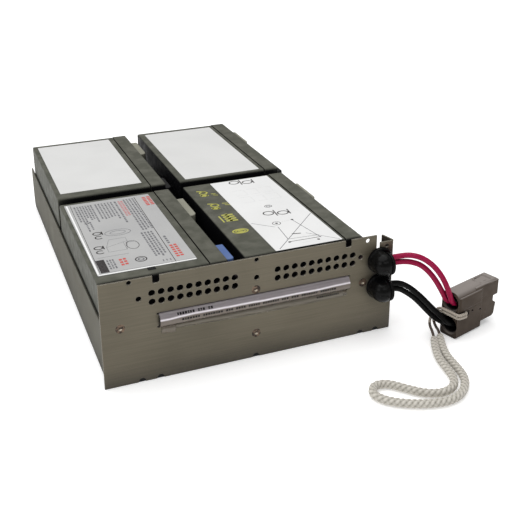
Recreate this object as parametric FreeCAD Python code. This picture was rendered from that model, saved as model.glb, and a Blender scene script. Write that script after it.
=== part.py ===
# Rack UPS battery cartridge: four sealed lead-acid blocks lying in an open sheet-metal tray, with a
# perforated front panel, a film pull handle, two cable glands, a two-pole power connector and a rope pull.
# Millimetres. +X right, +Y back, +Z up; the origin is the centre of the tray's underside.
import FreeCAD, Part
import math
import os

Vec = FreeCAD.Vector

# ---------------------------------------------------------------- driving dimensions
PANEL_W = 218.0
PANEL_H = 78.0
BODY_DEPTH = 346.0
SHEET = 1.2
WALL_H = 42.1
PANEL_OVERHANG = 2.6
BEND_R = 1.8

BATTERY_L = 151.0
BATTERY_W = 94.0
BATTERY_H = 65.0
LID_H = 13.0
SEAM = 0.8
CASE_STEP = 0.4

CABLE_D = 4.1
TIE_D = 2.2
ROPE_D = 5.4
CLEAR = 0.05

FRONT_Y = -BODY_DEPTH / 2
LEFT_X = -PANEL_W / 2
PANEL_BACK_Y = FRONT_Y + SHEET

# Each row: distance of the batteries' front faces behind the panel's front face, height of their undersides.
BATTERY_ROWS = {"front": (24.9, 1.8), "rear": (182.6, 4.0)}
# Distance of the batteries' left faces from the panel's left edge.
BATTERY_COLUMNS = {"left": 4.2, "right": 111.2}

UP = Vec(0, 0, 1)
RIGHT = Vec(1, 0, 0)
BACK = Vec(0, 1, 0)


# ---------------------------------------------------------------- helpers
def box(x0, x1, y0, y1, z0, z1):
    """Box between two corners."""
    return Part.makeBox(x1 - x0, y1 - y0, z1 - z0, Vec(x0, y0, z0))


def rod(radius, start, axis, length):
    """Round bar from a point along an axis."""
    return Part.makeCylinder(radius, length, start, axis)


def extrude(points, direction):
    """Flat outline of points, closed and extruded."""
    wire = Part.makePolygon(points + [points[0]])
    return Part.Face(wire).extrude(direction)


def slot_cutter(x0, x1, z, height, y0, y1):
    """Cutter for a round-ended slot that runs along X."""
    r = height / 2
    body = box(x0 + r, x1 - r, y0, y1, z - r, z + r)
    ends = [rod(r, Vec(x, y0, z), BACK, y1 - y0) for x in (x0 + r, x1 - r)]
    return body.multiFuse(ends).removeSplitter()


def joined(shapes):
    """One clean solid out of pieces that touch or overlap."""
    return shapes[0].multiFuse(shapes[1:]).removeSplitter()


def grouped(shapes):
    """Separate solids that share one node."""
    return Part.makeCompound(shapes)


def edges_along(shape, axis):
    """Straight edges that run along an axis."""
    found = []
    for edge in shape.Edges:
        if isinstance(edge.Curve, Part.Line):
            run = edge.Vertexes[-1].Point - edge.Vertexes[0].Point
            if run.Length > 1e-6 and abs(abs(run.normalize().dot(axis)) - 1) < 1e-6:
                found.append(edge)
    return found


def edges_where(shape, test):
    """Edges whose middle passes a test."""
    return [edge for edge in shape.Edges if test(edge.CenterOfMass)]


def rounded_box(x0, x1, y0, y1, z0, z1, radius):
    """Box with every edge rounded."""
    block = box(x0, x1, y0, y1, z0, z1)
    return block.makeFillet(radius, block.Edges)


def from_left(distance):
    """X of a place measured from the panel's left edge."""
    return LEFT_X + distance


def behind_front(distance):
    """Y of a place measured back from the panel's front face."""
    return FRONT_Y + distance


# ---------------------------------------------------------------- tray
SIDE_FLANGE_W = {"left": 17.4, "right": 27.0}
SIDE_FLANGE_TOP = 49.0
FLANGE_FOOT = 5.0
LIP_H = 26.0
LIP_GAP = 0.5
REAR_WALL_H = 20.0
REAR_WALL_Y = 164.0
WALL_CORNER_R = 8.0
GLAND_X = 206.4
GLAND_Z = {"upper": 58.3, "lower": 37.3}
GLAND_BARB_R = 7.3
RIVETS = {"left": (13.0, 43.7), "right": (193.2, 42.2), "handle_top": (109.4, 53.4), "handle_foot": (109.4, 19.2)}
RIVET_R = 1.6


def bent_strip(outline, height_vector):
    """Folded sheet: outline of the fold in section, as (start, corner, end), with the outer bend rounded."""
    start, corner, end, inward = outline
    first = (start - corner).normalize()
    second = (end - corner).normalize()
    out_a, out_b = corner + first * BEND_R, corner + second * BEND_R
    centre = out_a + second * BEND_R
    outer_mid = centre + (corner - centre).normalize() * BEND_R
    inner_r = BEND_R - SHEET
    in_a, in_b = out_a + second * SHEET, out_b + first * SHEET
    inner_mid = centre + (corner - centre).normalize() * inner_r
    edges = [
        Part.LineSegment(start, out_a).toShape(),
        Part.Arc(out_a, outer_mid, out_b).toShape(),
        Part.LineSegment(out_b, end).toShape(),
        Part.LineSegment(end, end + first * SHEET).toShape(),
        Part.LineSegment(end + first * SHEET, in_b).toShape(),
        Part.Arc(in_b, inner_mid, in_a).toShape(),
        Part.LineSegment(in_a, start + second * SHEET).toShape(),
        Part.LineSegment(start + second * SHEET, start).toShape(),
    ]
    return Part.Face(Part.Wire(edges)).extrude(height_vector)


def tray():
    """Folded tray: floor, two walls with front flanges, a front lip and a low rear wall."""
    half = PANEL_W / 2 - PANEL_OVERHANG
    lip_y = PANEL_BACK_Y + LIP_GAP
    wall_front = PANEL_BACK_Y + BEND_R
    pieces = []
    for side, sign in (("left", -1), ("right", 1)):
        wall = bent_strip(
            (Vec(sign * half, wall_front, WALL_H), Vec(sign * half, wall_front, 0), Vec(0, wall_front, 0), None),
            Vec(0, BODY_DEPTH / 2 - wall_front, 0))
        inner = sign * (half - SIDE_FLANGE_W[side])
        flange = bent_strip(
            (Vec(sign * half, wall_front + 6, FLANGE_FOOT), Vec(sign * half, PANEL_BACK_Y, FLANGE_FOOT),
             Vec(inner, PANEL_BACK_Y, FLANGE_FOOT), None),
            Vec(0, 0, WALL_H - FLANGE_FOOT))
        ear_x = sorted((sign * (half - BEND_R), inner))
        ear = box(ear_x[0], ear_x[1], PANEL_BACK_Y, PANEL_BACK_Y + SHEET, FLANGE_FOOT, SIDE_FLANGE_TOP)
        pieces += [wall, flange, ear]
    lip_half = half - max(SIDE_FLANGE_W.values()) - 3
    lip = bent_strip(
        (Vec(-lip_half, lip_y, LIP_H), Vec(-lip_half, lip_y, 0), Vec(-lip_half, wall_front + 2, 0), None),
        Vec(2 * lip_half, 0, 0))
    rear_half = half - BEND_R - 1
    rear = bent_strip(
        (Vec(-rear_half, REAR_WALL_Y, REAR_WALL_H), Vec(-rear_half, REAR_WALL_Y, 0),
         Vec(-rear_half, REAR_WALL_Y - 8, 0), None),
        Vec(2 * rear_half, 0, 0))
    body = joined(pieces + [lip, rear])
    body = body.cut(box(-rear_half, rear_half, REAR_WALL_Y, BODY_DEPTH / 2 + 1, -1, REAR_WALL_H + 1))
    body = body.cut(rear_corner_cutter(half))
    body = body.cut(front_notch_cutter(half, wall_front, lip_half))
    holes = [rod(RIVET_R + CLEAR, Vec(from_left(x), FRONT_Y, z), BACK, 8)
             for name, (x, z) in RIVETS.items() if name != "handle_top"]
    holes.append(rod(GLAND_BARB_R + 0.4, Vec(from_left(GLAND_X), FRONT_Y, GLAND_Z["lower"]), BACK, 8))
    return body.cut(joined_cutters(holes))


def joined_cutters(cutters):
    """Cutters gathered for one cut."""
    return Part.makeCompound(cutters)


def rear_corner_cutter(half):
    """Rounds the lower rear corner of both walls."""
    end = BODY_DEPTH / 2
    block = box(-half - 1, half + 1, end - WALL_CORNER_R, end + 1, -1, WALL_CORNER_R)
    return block.cut(rod(WALL_CORNER_R, Vec(-half - 2, end - WALL_CORNER_R, WALL_CORNER_R), RIGHT, 2 * half + 4))


def front_notch_cutter(half, wall_front, lip_half):
    """Relief at the floor's front corners, between the lip and each wall."""
    reliefs = [box(min(a, b), max(a, b), PANEL_BACK_Y - 1, wall_front + 2, -1, FLANGE_FOOT - 0.2)
               for a, b in ((-half + BEND_R + 0.4, -lip_half - 0.6), (half - BEND_R - 0.4, lip_half + 0.6))]
    return Part.makeCompound(reliefs)


# ---------------------------------------------------------------- front panel
VENT_R = 2.4
VENT_PITCH = 6.5
VENT_COUNT = 10
VENT_STARTS = (35.5, 125.8)
VENT_ROWS = (65.7, 59.2)
TAB_TOP = 71.8
TAB_SLOT = (203.5, 206.5)
TAB_SLOT_DEPTH = 8.0
FLANGE_DEPTH = 16.0
FLANGE_REAR_DROP = 2.4
TOP_NOTCHES = (38.8, 180.8)
EDGE_HOLES = ((20.5, 76.0), (110.0, 76.0), (196.3, 74.9))
FIXING_HOLES = ((26.4, 63.0), (110.0, 62.6), (190.8, 63.0))
FIXING_R = 2.0
FOOT_NOTCHES = (25.9, 38.9, 109.1, 192.5, 205.1)
TAB_HOLE = (212.0, 68.5)
HANDLE_SLOTS = (49.6, 39.8)
HANDLE_SLOT_X = (38.0, 182.6)
HANDLE_SLOT_H = 1.4
GLAND_HOLE_R = 6.8


def through_panel(radius, x, z):
    """Round cutter through the panel at a place on its face."""
    return rod(radius, Vec(from_left(x), FRONT_Y - 2, z), BACK, SHEET + 4)


def vent_cutters():
    """Two groups of two rows of vent holes."""
    return [through_panel(VENT_R, start + i * VENT_PITCH, z)
            for start in VENT_STARTS for z in VENT_ROWS for i in range(VENT_COUNT)]


def countersink(x, z, extra):
    """Cone under a flush rivet head, with the shank's hole."""
    cone = Part.makeCone(3.3 + extra, RIVET_R + extra, SHEET, Vec(from_left(x), FRONT_Y, z), BACK)
    return cone.fuse(rod(RIVET_R + extra, Vec(from_left(x), FRONT_Y, z), BACK, SHEET + 1))


def front_panel():
    """Front plate with its right edge bent back as a flange."""
    right = LEFT_X + PANEL_W
    plate = bent_strip(
        (Vec(LEFT_X, FRONT_Y, 0), Vec(right, FRONT_Y, 0), Vec(right, FRONT_Y + FLANGE_DEPTH, 0), None),
        Vec(0, 0, PANEL_H))
    tab_x = from_left(TAB_SLOT[1])
    flange_y = FRONT_Y + FLANGE_DEPTH
    above_tab = extrude(
        [Vec(tab_x - 0.01, FRONT_Y - 1, TAB_TOP), Vec(tab_x - 0.01, FRONT_Y + BEND_R, TAB_TOP),
         Vec(tab_x - 0.01, flange_y + 1, TAB_TOP - FLANGE_REAR_DROP),
         Vec(tab_x - 0.01, flange_y + 1, PANEL_H + 1), Vec(tab_x - 0.01, FRONT_Y - 1, PANEL_H + 1)],
        Vec(right - tab_x + 1, 0, 0))
    slot_foot = PANEL_H - TAB_SLOT_DEPTH - TAB_SLOT[1] + TAB_SLOT[0]
    cutters = [
        above_tab,
        box(from_left(TAB_SLOT[0]), from_left(TAB_SLOT[1]), FRONT_Y - 1, PANEL_BACK_Y + 1, slot_foot, PANEL_H + 1),
        box(right - SHEET - 1, right + 1, PANEL_BACK_Y + 2, flange_y + 1, -1, FLANGE_FOOT - 2),
    ]
    for x in TOP_NOTCHES:
        cutters.append(box(from_left(x - 2.5), from_left(x + 2.5), FRONT_Y - 1, PANEL_BACK_Y + 1, 74, PANEL_H + 1))
        cutters += [through_panel(1.5, x + dx, 74.0) for dx in (-1.0, 1.0)]
        cutters.append(box(from_left(x - 1), from_left(x + 1), FRONT_Y - 1, PANEL_BACK_Y + 1, 72.5, 75))
    cutters += [through_panel(1.7, x, z) for x, z in EDGE_HOLES]
    cutters += [through_panel(FIXING_R, x, z) for x, z in FIXING_HOLES]
    cutters += [through_panel(2.5, x, 0.4) for x in FOOT_NOTCHES]
    cutters += [through_panel(1.4, *TAB_HOLE)]
    cutters += [through_panel(GLAND_HOLE_R, GLAND_X, z) for z in GLAND_Z.values()]
    cutters += [slot_cutter(from_left(HANDLE_SLOT_X[0]), from_left(HANDLE_SLOT_X[1]), z, HANDLE_SLOT_H,
                            FRONT_Y - 1, PANEL_BACK_Y + 1) for z in HANDLE_SLOTS]
    cutters += [countersink(x, z, CLEAR) for x, z in RIVETS.values()]
    plate = plate.cut(Part.makeCompound(cutters))
    return plate.cut(Part.makeCompound(vent_cutters()))


def panel_rivets():
    """Four flush rivets: two hold the panel to the tray, two hold the ends of the pull handle."""
    stacks = {"left": SHEET, "right": SHEET, "handle_top": FILM + 0.1, "handle_foot": LIP_GAP + SHEET}
    solids = []
    for name, (x, z) in RIVETS.items():
        tail_y = PANEL_BACK_Y + stacks[name]
        place = Vec(from_left(x), FRONT_Y, z)
        head = Part.makeCone(3.3, RIVET_R, SHEET, place, BACK)
        shank = rod(RIVET_R, place, BACK, tail_y - FRONT_Y)
        tail = Part.makeCone(3.0, 2.2, 1.2, Vec(place.x, tail_y, z), BACK)
        pit = Part.makeCone(1.4, 0.6, 0.9, place, BACK)
        solids.append(joined([head, shank, tail]).cut(pit))
    return grouped(solids)


# ---------------------------------------------------------------- pull handle
FILM = 0.4
HANDLE_X = (39.6, 181.0)
HANDLE_BULGE = 3.4
HANDLE_TAIL_TOP = 57.6
HANDLE_TAIL_FOOT = 14.0


def pull_handle():
    """Clear film strap: its front bulges between two slots and its ends lie behind the panel."""
    x = from_left(HANDLE_X[0])
    width = HANDLE_X[1] - HANDLE_X[0]
    top, foot = HANDLE_SLOTS
    rear = PANEL_BACK_Y + 0.05
    front = FRONT_Y - 0.05
    middle = (top + foot) / 2 - 0.6

    def skin(offset, z_shift):
        """One face of the film, as the points of the bulging section."""
        return (Vec(x, front - offset, top + z_shift), Vec(x, front - HANDLE_BULGE - offset, middle),
                Vec(x, front - offset, foot - z_shift))

    half = FILM / 2
    outer = skin(FILM, half)
    inner = skin(0, -half)
    edges = [
        Part.Arc(*outer).toShape(),
        Part.LineSegment(outer[2], Vec(x, rear, foot - half)).toShape(),
        Part.LineSegment(Vec(x, rear, foot - half), Vec(x, rear, HANDLE_TAIL_FOOT)).toShape(),
        Part.LineSegment(Vec(x, rear, HANDLE_TAIL_FOOT), Vec(x, rear + FILM, HANDLE_TAIL_FOOT)).toShape(),
        Part.LineSegment(Vec(x, rear + FILM, HANDLE_TAIL_FOOT), Vec(x, rear + FILM, foot + half)).toShape(),
        Part.LineSegment(Vec(x, rear + FILM, foot + half), inner[2]).toShape(),
        Part.Arc(inner[2], inner[1], inner[0]).toShape(),
        Part.LineSegment(inner[0], Vec(x, rear + FILM, top - half)).toShape(),
        Part.LineSegment(Vec(x, rear + FILM, top - half), Vec(x, rear + FILM, HANDLE_TAIL_TOP)).toShape(),
        Part.LineSegment(Vec(x, rear + FILM, HANDLE_TAIL_TOP), Vec(x, rear, HANDLE_TAIL_TOP)).toShape(),
        Part.LineSegment(Vec(x, rear, HANDLE_TAIL_TOP), Vec(x, rear, top + half)).toShape(),
        Part.LineSegment(Vec(x, rear, top + half), outer[0]).toShape(),
    ]
    strap = Part.Face(Part.Wire(edges)).extrude(Vec(width, 0, 0))
    holes = [rod(RIVET_R + CLEAR, Vec(from_left(RIVETS[name][0]), PANEL_BACK_Y - 0.1, RIVETS[name][1]), BACK, 2)
             for name in ("handle_top", "handle_foot")]
    return strap.cut(Part.makeCompound(holes))


# ---------------------------------------------------------------- cable glands
GLAND_FLANGE_R = 9.9
GLAND_FLANGE_T = 2.6
GLAND_AXIS_Y = -8.4
GLAND_HOOD_R = 8.4
GLAND_HOOD_SHIFT = -1.4
GLAND_MOUTH = 4.2
GLAND_COLLAR = (2.2, 8.2)
GLAND_GROOVE = (1.4, 6.9)
GLAND_TAIL = 7.0
PAIR_RISE = 2.4
PAIR_OFFSET = 2.2


def gland(z):
    """Right-angle strain relief: flange on the panel, hooded elbow, ringed mouth to the right, snap tail."""
    x = from_left(GLAND_X)
    hood_x = x + GLAND_HOOD_SHIFT
    mouth_x = x + GLAND_MOUTH
    axis_y = FRONT_Y + GLAND_AXIS_Y
    lip_y = FRONT_Y - GLAND_FLANGE_T
    flange = rod(GLAND_FLANGE_R, Vec(x, lip_y, z), BACK, GLAND_FLANGE_T)
    flange = flange.makeFillet(0.9, edges_where(flange, lambda c: abs(c.y - lip_y) < 1e-3))
    riser = rod(GLAND_HOOD_R, Vec(hood_x, axis_y, z), BACK, -GLAND_AXIS_Y)
    knee = Part.makeSphere(GLAND_HOOD_R, Vec(hood_x, axis_y, z))
    collar_t, collar_r = GLAND_COLLAR
    groove_t, groove_r = GLAND_GROOVE
    collar_x = mouth_x - collar_t
    groove = rod(GLAND_HOOD_R + 4, Vec(collar_x - groove_t, axis_y, z), RIGHT, groove_t + 20)
    groove = groove.cut(rod(groove_r, Vec(collar_x - groove_t - 1, axis_y, z), RIGHT, mouth_x - collar_x + groove_t + 1))
    groove = groove.common(box(x - 30, x + 30, lip_y - 30, lip_y, z - 30, z + 30))
    nose = rod(groove_r, Vec(hood_x, axis_y, z), RIGHT, mouth_x - hood_x)
    collar = rod(collar_r, Vec(collar_x, axis_y, z), RIGHT, collar_t)
    collar = collar.makeFillet(0.8, edges_along_circle(collar))
    collar = collar.common(box(x - 30, x + 30, lip_y - 30, lip_y + 0.5, z - 30, z + 30))
    neck = rod(GLAND_HOLE_R - 0.1, Vec(x, FRONT_Y, z), BACK, SHEET + 0.1)
    barb = Part.makeCone(GLAND_BARB_R, 5.6, GLAND_TAIL - SHEET - 0.1, Vec(x, PANEL_BACK_Y + 0.1, z), BACK)
    slits = [box(x - 1.2, x + 1.2, PANEL_BACK_Y + 0.1, behind_front(GLAND_TAIL) + 1, z + a, z + a + 4.2)
             for a in (4.8, -9.0)]
    hood = joined([riser, knee]).cut(groove)
    return joined([flange, hood, nose, collar, neck, barb]).cut(Part.makeCompound(slits))


def edges_along_circle(shape):
    """Full round edges of a disc."""
    return [edge for edge in shape.Edges if isinstance(edge.Curve, Part.Circle)]


# ---------------------------------------------------------------- batteries
TERMINAL_Y = (26.0, 125.0)
TERMINAL_Z = 56.0
WELL = (13.0, 9.0, 5.0)
BLADE = (6.35, 0.8, 5.5)
VENT_COVER = (98.0, 26.0, 1.2)
VENT_COVER_Z = 12.0
CASE_TOP = BATTERY_H - CASE_STEP
CASE_END = BATTERY_W - LID_H - SEAM


def battery_case():
    """Moulded case of one block, lying on its side, with the seam neck at its lid end."""
    s = CASE_STEP
    block = box(0, CASE_END, s, BATTERY_L - s, s, CASE_TOP)
    block = block.makeFillet(2.0, edges_along(block, RIGHT))
    block = block.makeFillet(1.2, edges_where(block, lambda c: c.x < 0.01))
    neck = box(CASE_END - 1, CASE_END + SEAM, 2, BATTERY_L - 2, 2, BATTERY_H - 2)
    return joined([block, neck])


def battery_lid():
    """Lid with a well round each terminal and a shallow seat for the vent cover."""
    start = CASE_END + SEAM
    lid = box(start, BATTERY_W, 0, BATTERY_L, 0, BATTERY_H)
    lid = lid.makeFillet(2.0, edges_along(lid, RIGHT))
    lid = lid.makeFillet(0.8, edges_where(lid, lambda c: c.x > BATTERY_W - 0.01))
    cutters = [box(BATTERY_W - WELL[2], BATTERY_W + 1, y - WELL[0] / 2, y + WELL[0] / 2,
                   TERMINAL_Z - WELL[1] / 2, TERMINAL_Z + WELL[1] / 2) for y in TERMINAL_Y]
    seat_y = (BATTERY_L - VENT_COVER[0]) / 2 - 0.2
    cutters.append(box(BATTERY_W - VENT_COVER[2] / 2, BATTERY_W + 1, seat_y, BATTERY_L - seat_y,
                       VENT_COVER_Z - 0.2, VENT_COVER_Z + VENT_COVER[1] + 0.2))
    return lid.cut(Part.makeCompound(cutters))


def battery_vent_cover():
    """Thin plate over the cell vents on the lid."""
    y = (BATTERY_L - VENT_COVER[0]) / 2
    start = BATTERY_W - VENT_COVER[2] / 2
    plate = box(start, start + VENT_COVER[2], y, y + VENT_COVER[0], VENT_COVER_Z, VENT_COVER_Z + VENT_COVER[1])
    plate = plate.makeFillet(2.0, edges_along(plate, RIGHT))
    return plate.makeChamfer(0.4, edges_where(plate, lambda c: c.x > start + VENT_COVER[2] - 0.01))


def battery_terminals():
    """Pair of tab terminals, each on a small foot in its well."""
    solids = []
    for y in TERMINAL_Y:
        foot_x = BATTERY_W - WELL[2]
        foot = box(foot_x, foot_x + 1.0, y - 4.5, y + 4.5, TERMINAL_Z - 3.5, TERMINAL_Z + 3.5)
        tip = BATTERY_W + BLADE[2]
        half = BLADE[0] / 2
        blade = extrude(
            [Vec(foot_x, y - half, TERMINAL_Z - 0.4), Vec(tip - 1.2, y - half, TERMINAL_Z - 0.4),
             Vec(tip, y - half + 1.0, TERMINAL_Z - 0.4), Vec(tip, y + half - 1.0, TERMINAL_Z - 0.4),
             Vec(tip - 1.2, y + half, TERMINAL_Z - 0.4), Vec(foot_x, y + half, TERMINAL_Z - 0.4)],
            UP * BLADE[1])
        hole = rod(0.8, Vec(tip - 3.2, y, TERMINAL_Z - 2), UP, 4)
        solids.append(joined([foot, blade]).cut(hole))
    return grouped(solids)


# Label on the upper face of each block: left, right, front and rear limits in the block's own frame.
LABELS = {"front_left": (3.0, 74.6, 10.4, 145.6), "rear_left": (4.2, 75.2, 10.6, 143.6),
          "front_right": (24.4, 78.4, 0.9, 147.6), "rear_right": (6.2, 76.6, 3.4, 143.2)}
LABEL_T = 0.2


def battery_label(name):
    """Stuck-on label with small corner radii."""
    x0, x1, y0, y1 = LABELS[name]
    sheet = box(x0, x1, y0, y1, CASE_TOP, CASE_TOP + LABEL_T)
    return sheet.makeFillet(0.8, edges_along(sheet, UP))


PAD_LENGTH = 132.0
PAD_W = 24.0
PAD_INSETS = (8.0, 48.0)


def mounting_pads(row):
    """Foam tape strips that hold one row of blocks to the tray's floor, two under each block."""
    front, underside = BATTERY_ROWS[row]
    y0 = behind_front(front) + (BATTERY_L - PAD_LENGTH) / 2
    return grouped([box(from_left(left + inset), from_left(left + inset + PAD_W), y0, y0 + PAD_LENGTH,
                        SHEET, underside + CASE_STEP)
                    for left in BATTERY_COLUMNS.values() for inset in PAD_INSETS])


# ---------------------------------------------------------------- terminal boots
BOOT_WALL = 1.0
BOOT_REACH = 7.2
BOOT_HEIGHTS = (49.6, 62.6)
LOW_BOOT_HEIGHTS = (52.2, 58.6)
LOW_COVER_HEIGHTS = (50.6, 60.4)
COVER_SPAN = (92.0, 129.6)
BOOT_SPAN = (6.0, 31.0)
COVER_ROUND = 5.0


def terminal_boot(span, heights, round_end):
    """Insulating cap over one terminal: hollow, open towards the lid, with one softly rounded end."""
    y0, y1 = span
    z0, z1 = heights
    x0, x1 = BATTERY_W, BATTERY_W + BOOT_REACH
    shell = box(x0, x1, y0, y1, z0, z1)
    shell = shell.makeFillet(round_end, edges_where(shell, lambda c: c.x > x1 - 0.01 and c.y < y0 + 0.01))
    shell = shell.makeFillet(0.9, edges_where(shell, lambda c: c.z > z1 - 0.01 and c.x > x1 - 0.01))
    w = BOOT_WALL
    hollow = box(x0 - 1, x1 - w, y0 + round_end * 0.6, y1 - w, z0 + w, z1 - w)
    return shell.cut(hollow)


# ---------------------------------------------------------------- cords and leads
def rounded_path(points, share=0.45):
    """Straight runs joined by tangent arcs; each arc is as large as its two runs allow."""
    edges, radii = [], []
    here = points[0]
    for before, corner, after in zip(points, points[1:], points[2:]):
        run_in, run_out = corner - before, after - corner
        shorter = min(run_in.Length, run_out.Length)
        half_turn = run_in.getAngle(run_out) / 2
        radius = share * shorter / math.tan(half_turn)
        u_in, u_out = run_in.normalize(), run_out.normalize()
        a, b = corner - u_in * share * shorter, corner + u_out * share * shorter
        inward = (u_out - u_in).normalize()
        middle = corner + inward * (radius / math.cos(half_turn) - radius)
        edges += [Part.LineSegment(here, a).toShape(), Part.Arc(a, middle, b).toShape()]
        radii.append(radius)
        here = b
    edges.append(Part.LineSegment(here, points[-1]).toShape())
    return Part.Wire(edges), radii


def cord(name, diameter, points):
    """Round cord along a route, with its radii and volume printed."""
    path = [Vec(*p) for p in points]
    wire, radii = rounded_path(path)
    start = (path[1] - path[0]).normalize()
    ring = Part.Wire([Part.Circle(path[0], start, diameter / 2).toShape()])
    solid = wire.makePipeShell([ring], True, False)
    ratio = solid.Volume / (math.pi * diameter ** 2 / 4 * wire.Length)
    print(f"{name}: length {wire.Length:.0f}, volume ratio {ratio:.4f}, solids {len(solid.Solids)},"
          f" radii in diameters {[round(r / diameter, 1) for r in radii]}")
    return solid


# The connector lies on its narrow edge; its own frame is s (towards the mating end), t (thickness), z.
CONNECTOR_CORNER = Vec(144.2, -207.5, 0)
CONNECTOR_TURN = 16.9
CONNECTOR_T = 15.0
CONNECTOR_H = 36.5
CONNECTOR_L = 47.8
CONNECTOR_REAR = 26.6
BARREL_Z = {"red": 27.6, "black": 9.1}
BARREL_R = 6.1
CABLE_SEAT = 11.6
CABLE_SPREAD = 2.25
BARREL_ENTRY = 0.2
MOUTH_RUN = 6.5
TIE_HOLE_R = 2.6
TIE_HOLE_S = 9.5


def at_connector(s, t, z):
    """Point given in the connector's own frame."""
    turn = math.radians(CONNECTOR_TURN)
    return (CONNECTOR_CORNER.x + s * math.cos(turn) - t * math.sin(turn),
            CONNECTOR_CORNER.y + s * math.sin(turn) + t * math.cos(turn), z)


def place_connector(shape):
    """Move a solid from the connector's own frame to its place."""
    shape.Placement = FreeCAD.Placement(CONNECTOR_CORNER, FreeCAD.Rotation(UP, CONNECTOR_TURN))
    return shape


def cable_ends():
    """Where each cable leaves its gland and where it stops in the connector, each with its straight lead."""
    mouth_x, mouth_y = from_left(GLAND_X) + GLAND_MOUTH, FRONT_Y + GLAND_AXIS_Y
    ends = {}
    for colour, level in (("red", "upper"), ("black", "lower")):
        for number, sign in ((1, 1), (2, -1)):
            z = GLAND_Z[level] + PAIR_RISE + sign * PAIR_OFFSET
            t = CONNECTOR_T / 2 - sign * CABLE_SPREAD
            leaving = [(mouth_x, mouth_y, z), (mouth_x + MOUTH_RUN, mouth_y, z)]
            entering = [at_connector(BARREL_ENTRY, t, BARREL_Z[colour]), at_connector(CABLE_SEAT, t, BARREL_Z[colour])]
            ends[f"{colour}_cable_{number}"] = (leaving, entering)
    return ends


CABLE_ROUTES = {
    "red_cable_1": [(115.6, -185.0, 64.2), (123.4, -189.6, 62.2), (130.2, -194.9, 56.4), (135.4, -198.8, 47.8),
                    (138.7, -201.9, 38.2)],
    "red_cable_2": [(116.2, -184.4, 58.4), (124.0, -188.0, 55.6), (130.8, -192.2, 47.8), (136.6, -195.6, 37.0)],
    "black_cable_1": [(115.2, -184.8, 38.9), (122.8, -189.0, 32.0), (129.6, -193.4, 23.8), (136.2, -198.4, 16.4)],
    "black_cable_2": [(114.8, -184.0, 33.6), (121.8, -186.6, 27.6), (128.4, -189.8, 19.6), (134.6, -193.3, 12.4)],
}


def power_cables():
    """Four free cables between the glands and the connector."""
    cables = {}
    for name, (leaving, entering) in cable_ends().items():
        cables[name] = cord(name, CABLE_D, leaving + CABLE_ROUTES[name] + entering)
    return cables


ROPE_ROUTE = [
    (126.0, -206.0, 4.6), (120.6, -216.2, 3.2), (116.0, -227.2, 2.8), (113.8, -238.6, 2.8), (112.4, -250.0, 2.8),
    (107.0, -259.6, 2.8), (96.4, -263.6, 2.8), (85.0, -260.0, 2.8), (75.6, -250.4, 2.8), (67.0, -240.4, 2.8),
    (57.4, -239.8, 2.8), (52.4, -248.2, 2.8), (57.4, -257.2, 2.8), (68.6, -265.0, 2.8), (82.4, -270.8, 2.8),
    (97.0, -272.6, 2.8), (110.0, -266.8, 2.8), (119.6, -255.0, 2.8), (122.8, -241.6, 2.8), (123.8, -228.6, 2.8),
    (127.4, -216.0, 3.2), (132.0, -204.6, 4.6)]


def tie_route(z, reach, last):
    """Tie cord from the connector's hole round its rear edge and down behind the cables to the rope's end."""
    side, rear = -1.45, -1.6
    points = [at_connector(TIE_HOLE_S, 3.2, z), at_connector(TIE_HOLE_S - 0.1, side, z),
              at_connector(TIE_HOLE_S - 5.2, side, z + 0.6), at_connector(rear - 0.2, side - 0.3, z + 1.6),
              at_connector(rear, 3.6, z + 1.9), at_connector(rear - 0.3, 8.8, z + 2.0),
              at_connector(rear - 0.1, 13.8, z + 1.6), at_connector(0.0, 18.4, z - 1.2)]
    return points + reach + [last]


def pull_cords():
    """Rope loop and the doubled tie that holds it to the connector."""
    def before(first, second, distance):
        a, b = Vec(*first), Vec(*second)
        spot = a - (b - a).normalize() * distance
        return (spot.x, spot.y, spot.z)

    left_end, right_end = ROPE_ROUTE[0], ROPE_ROUTE[-1]
    left_lead = before(left_end, ROPE_ROUTE[1], 6.0)
    right_lead = before(right_end, ROPE_ROUTE[-2], 6.0)
    upper = tie_route(19.5, [(136.0, -187.0, 12.9), (131.4, -190.6, 7.4), left_lead], left_end)
    lower = tie_route(17.0, [(136.9, -187.2, 9.8), (136.2, -191.8, 5.2), right_lead], right_end)
    return {"pull_rope": cord("pull_rope", ROPE_D, ROPE_ROUTE),
            "rope_tie_upper": cord("rope_tie_upper", TIE_D, upper),
            "rope_tie_lower": cord("rope_tie_lower", TIE_D, lower)}


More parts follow.
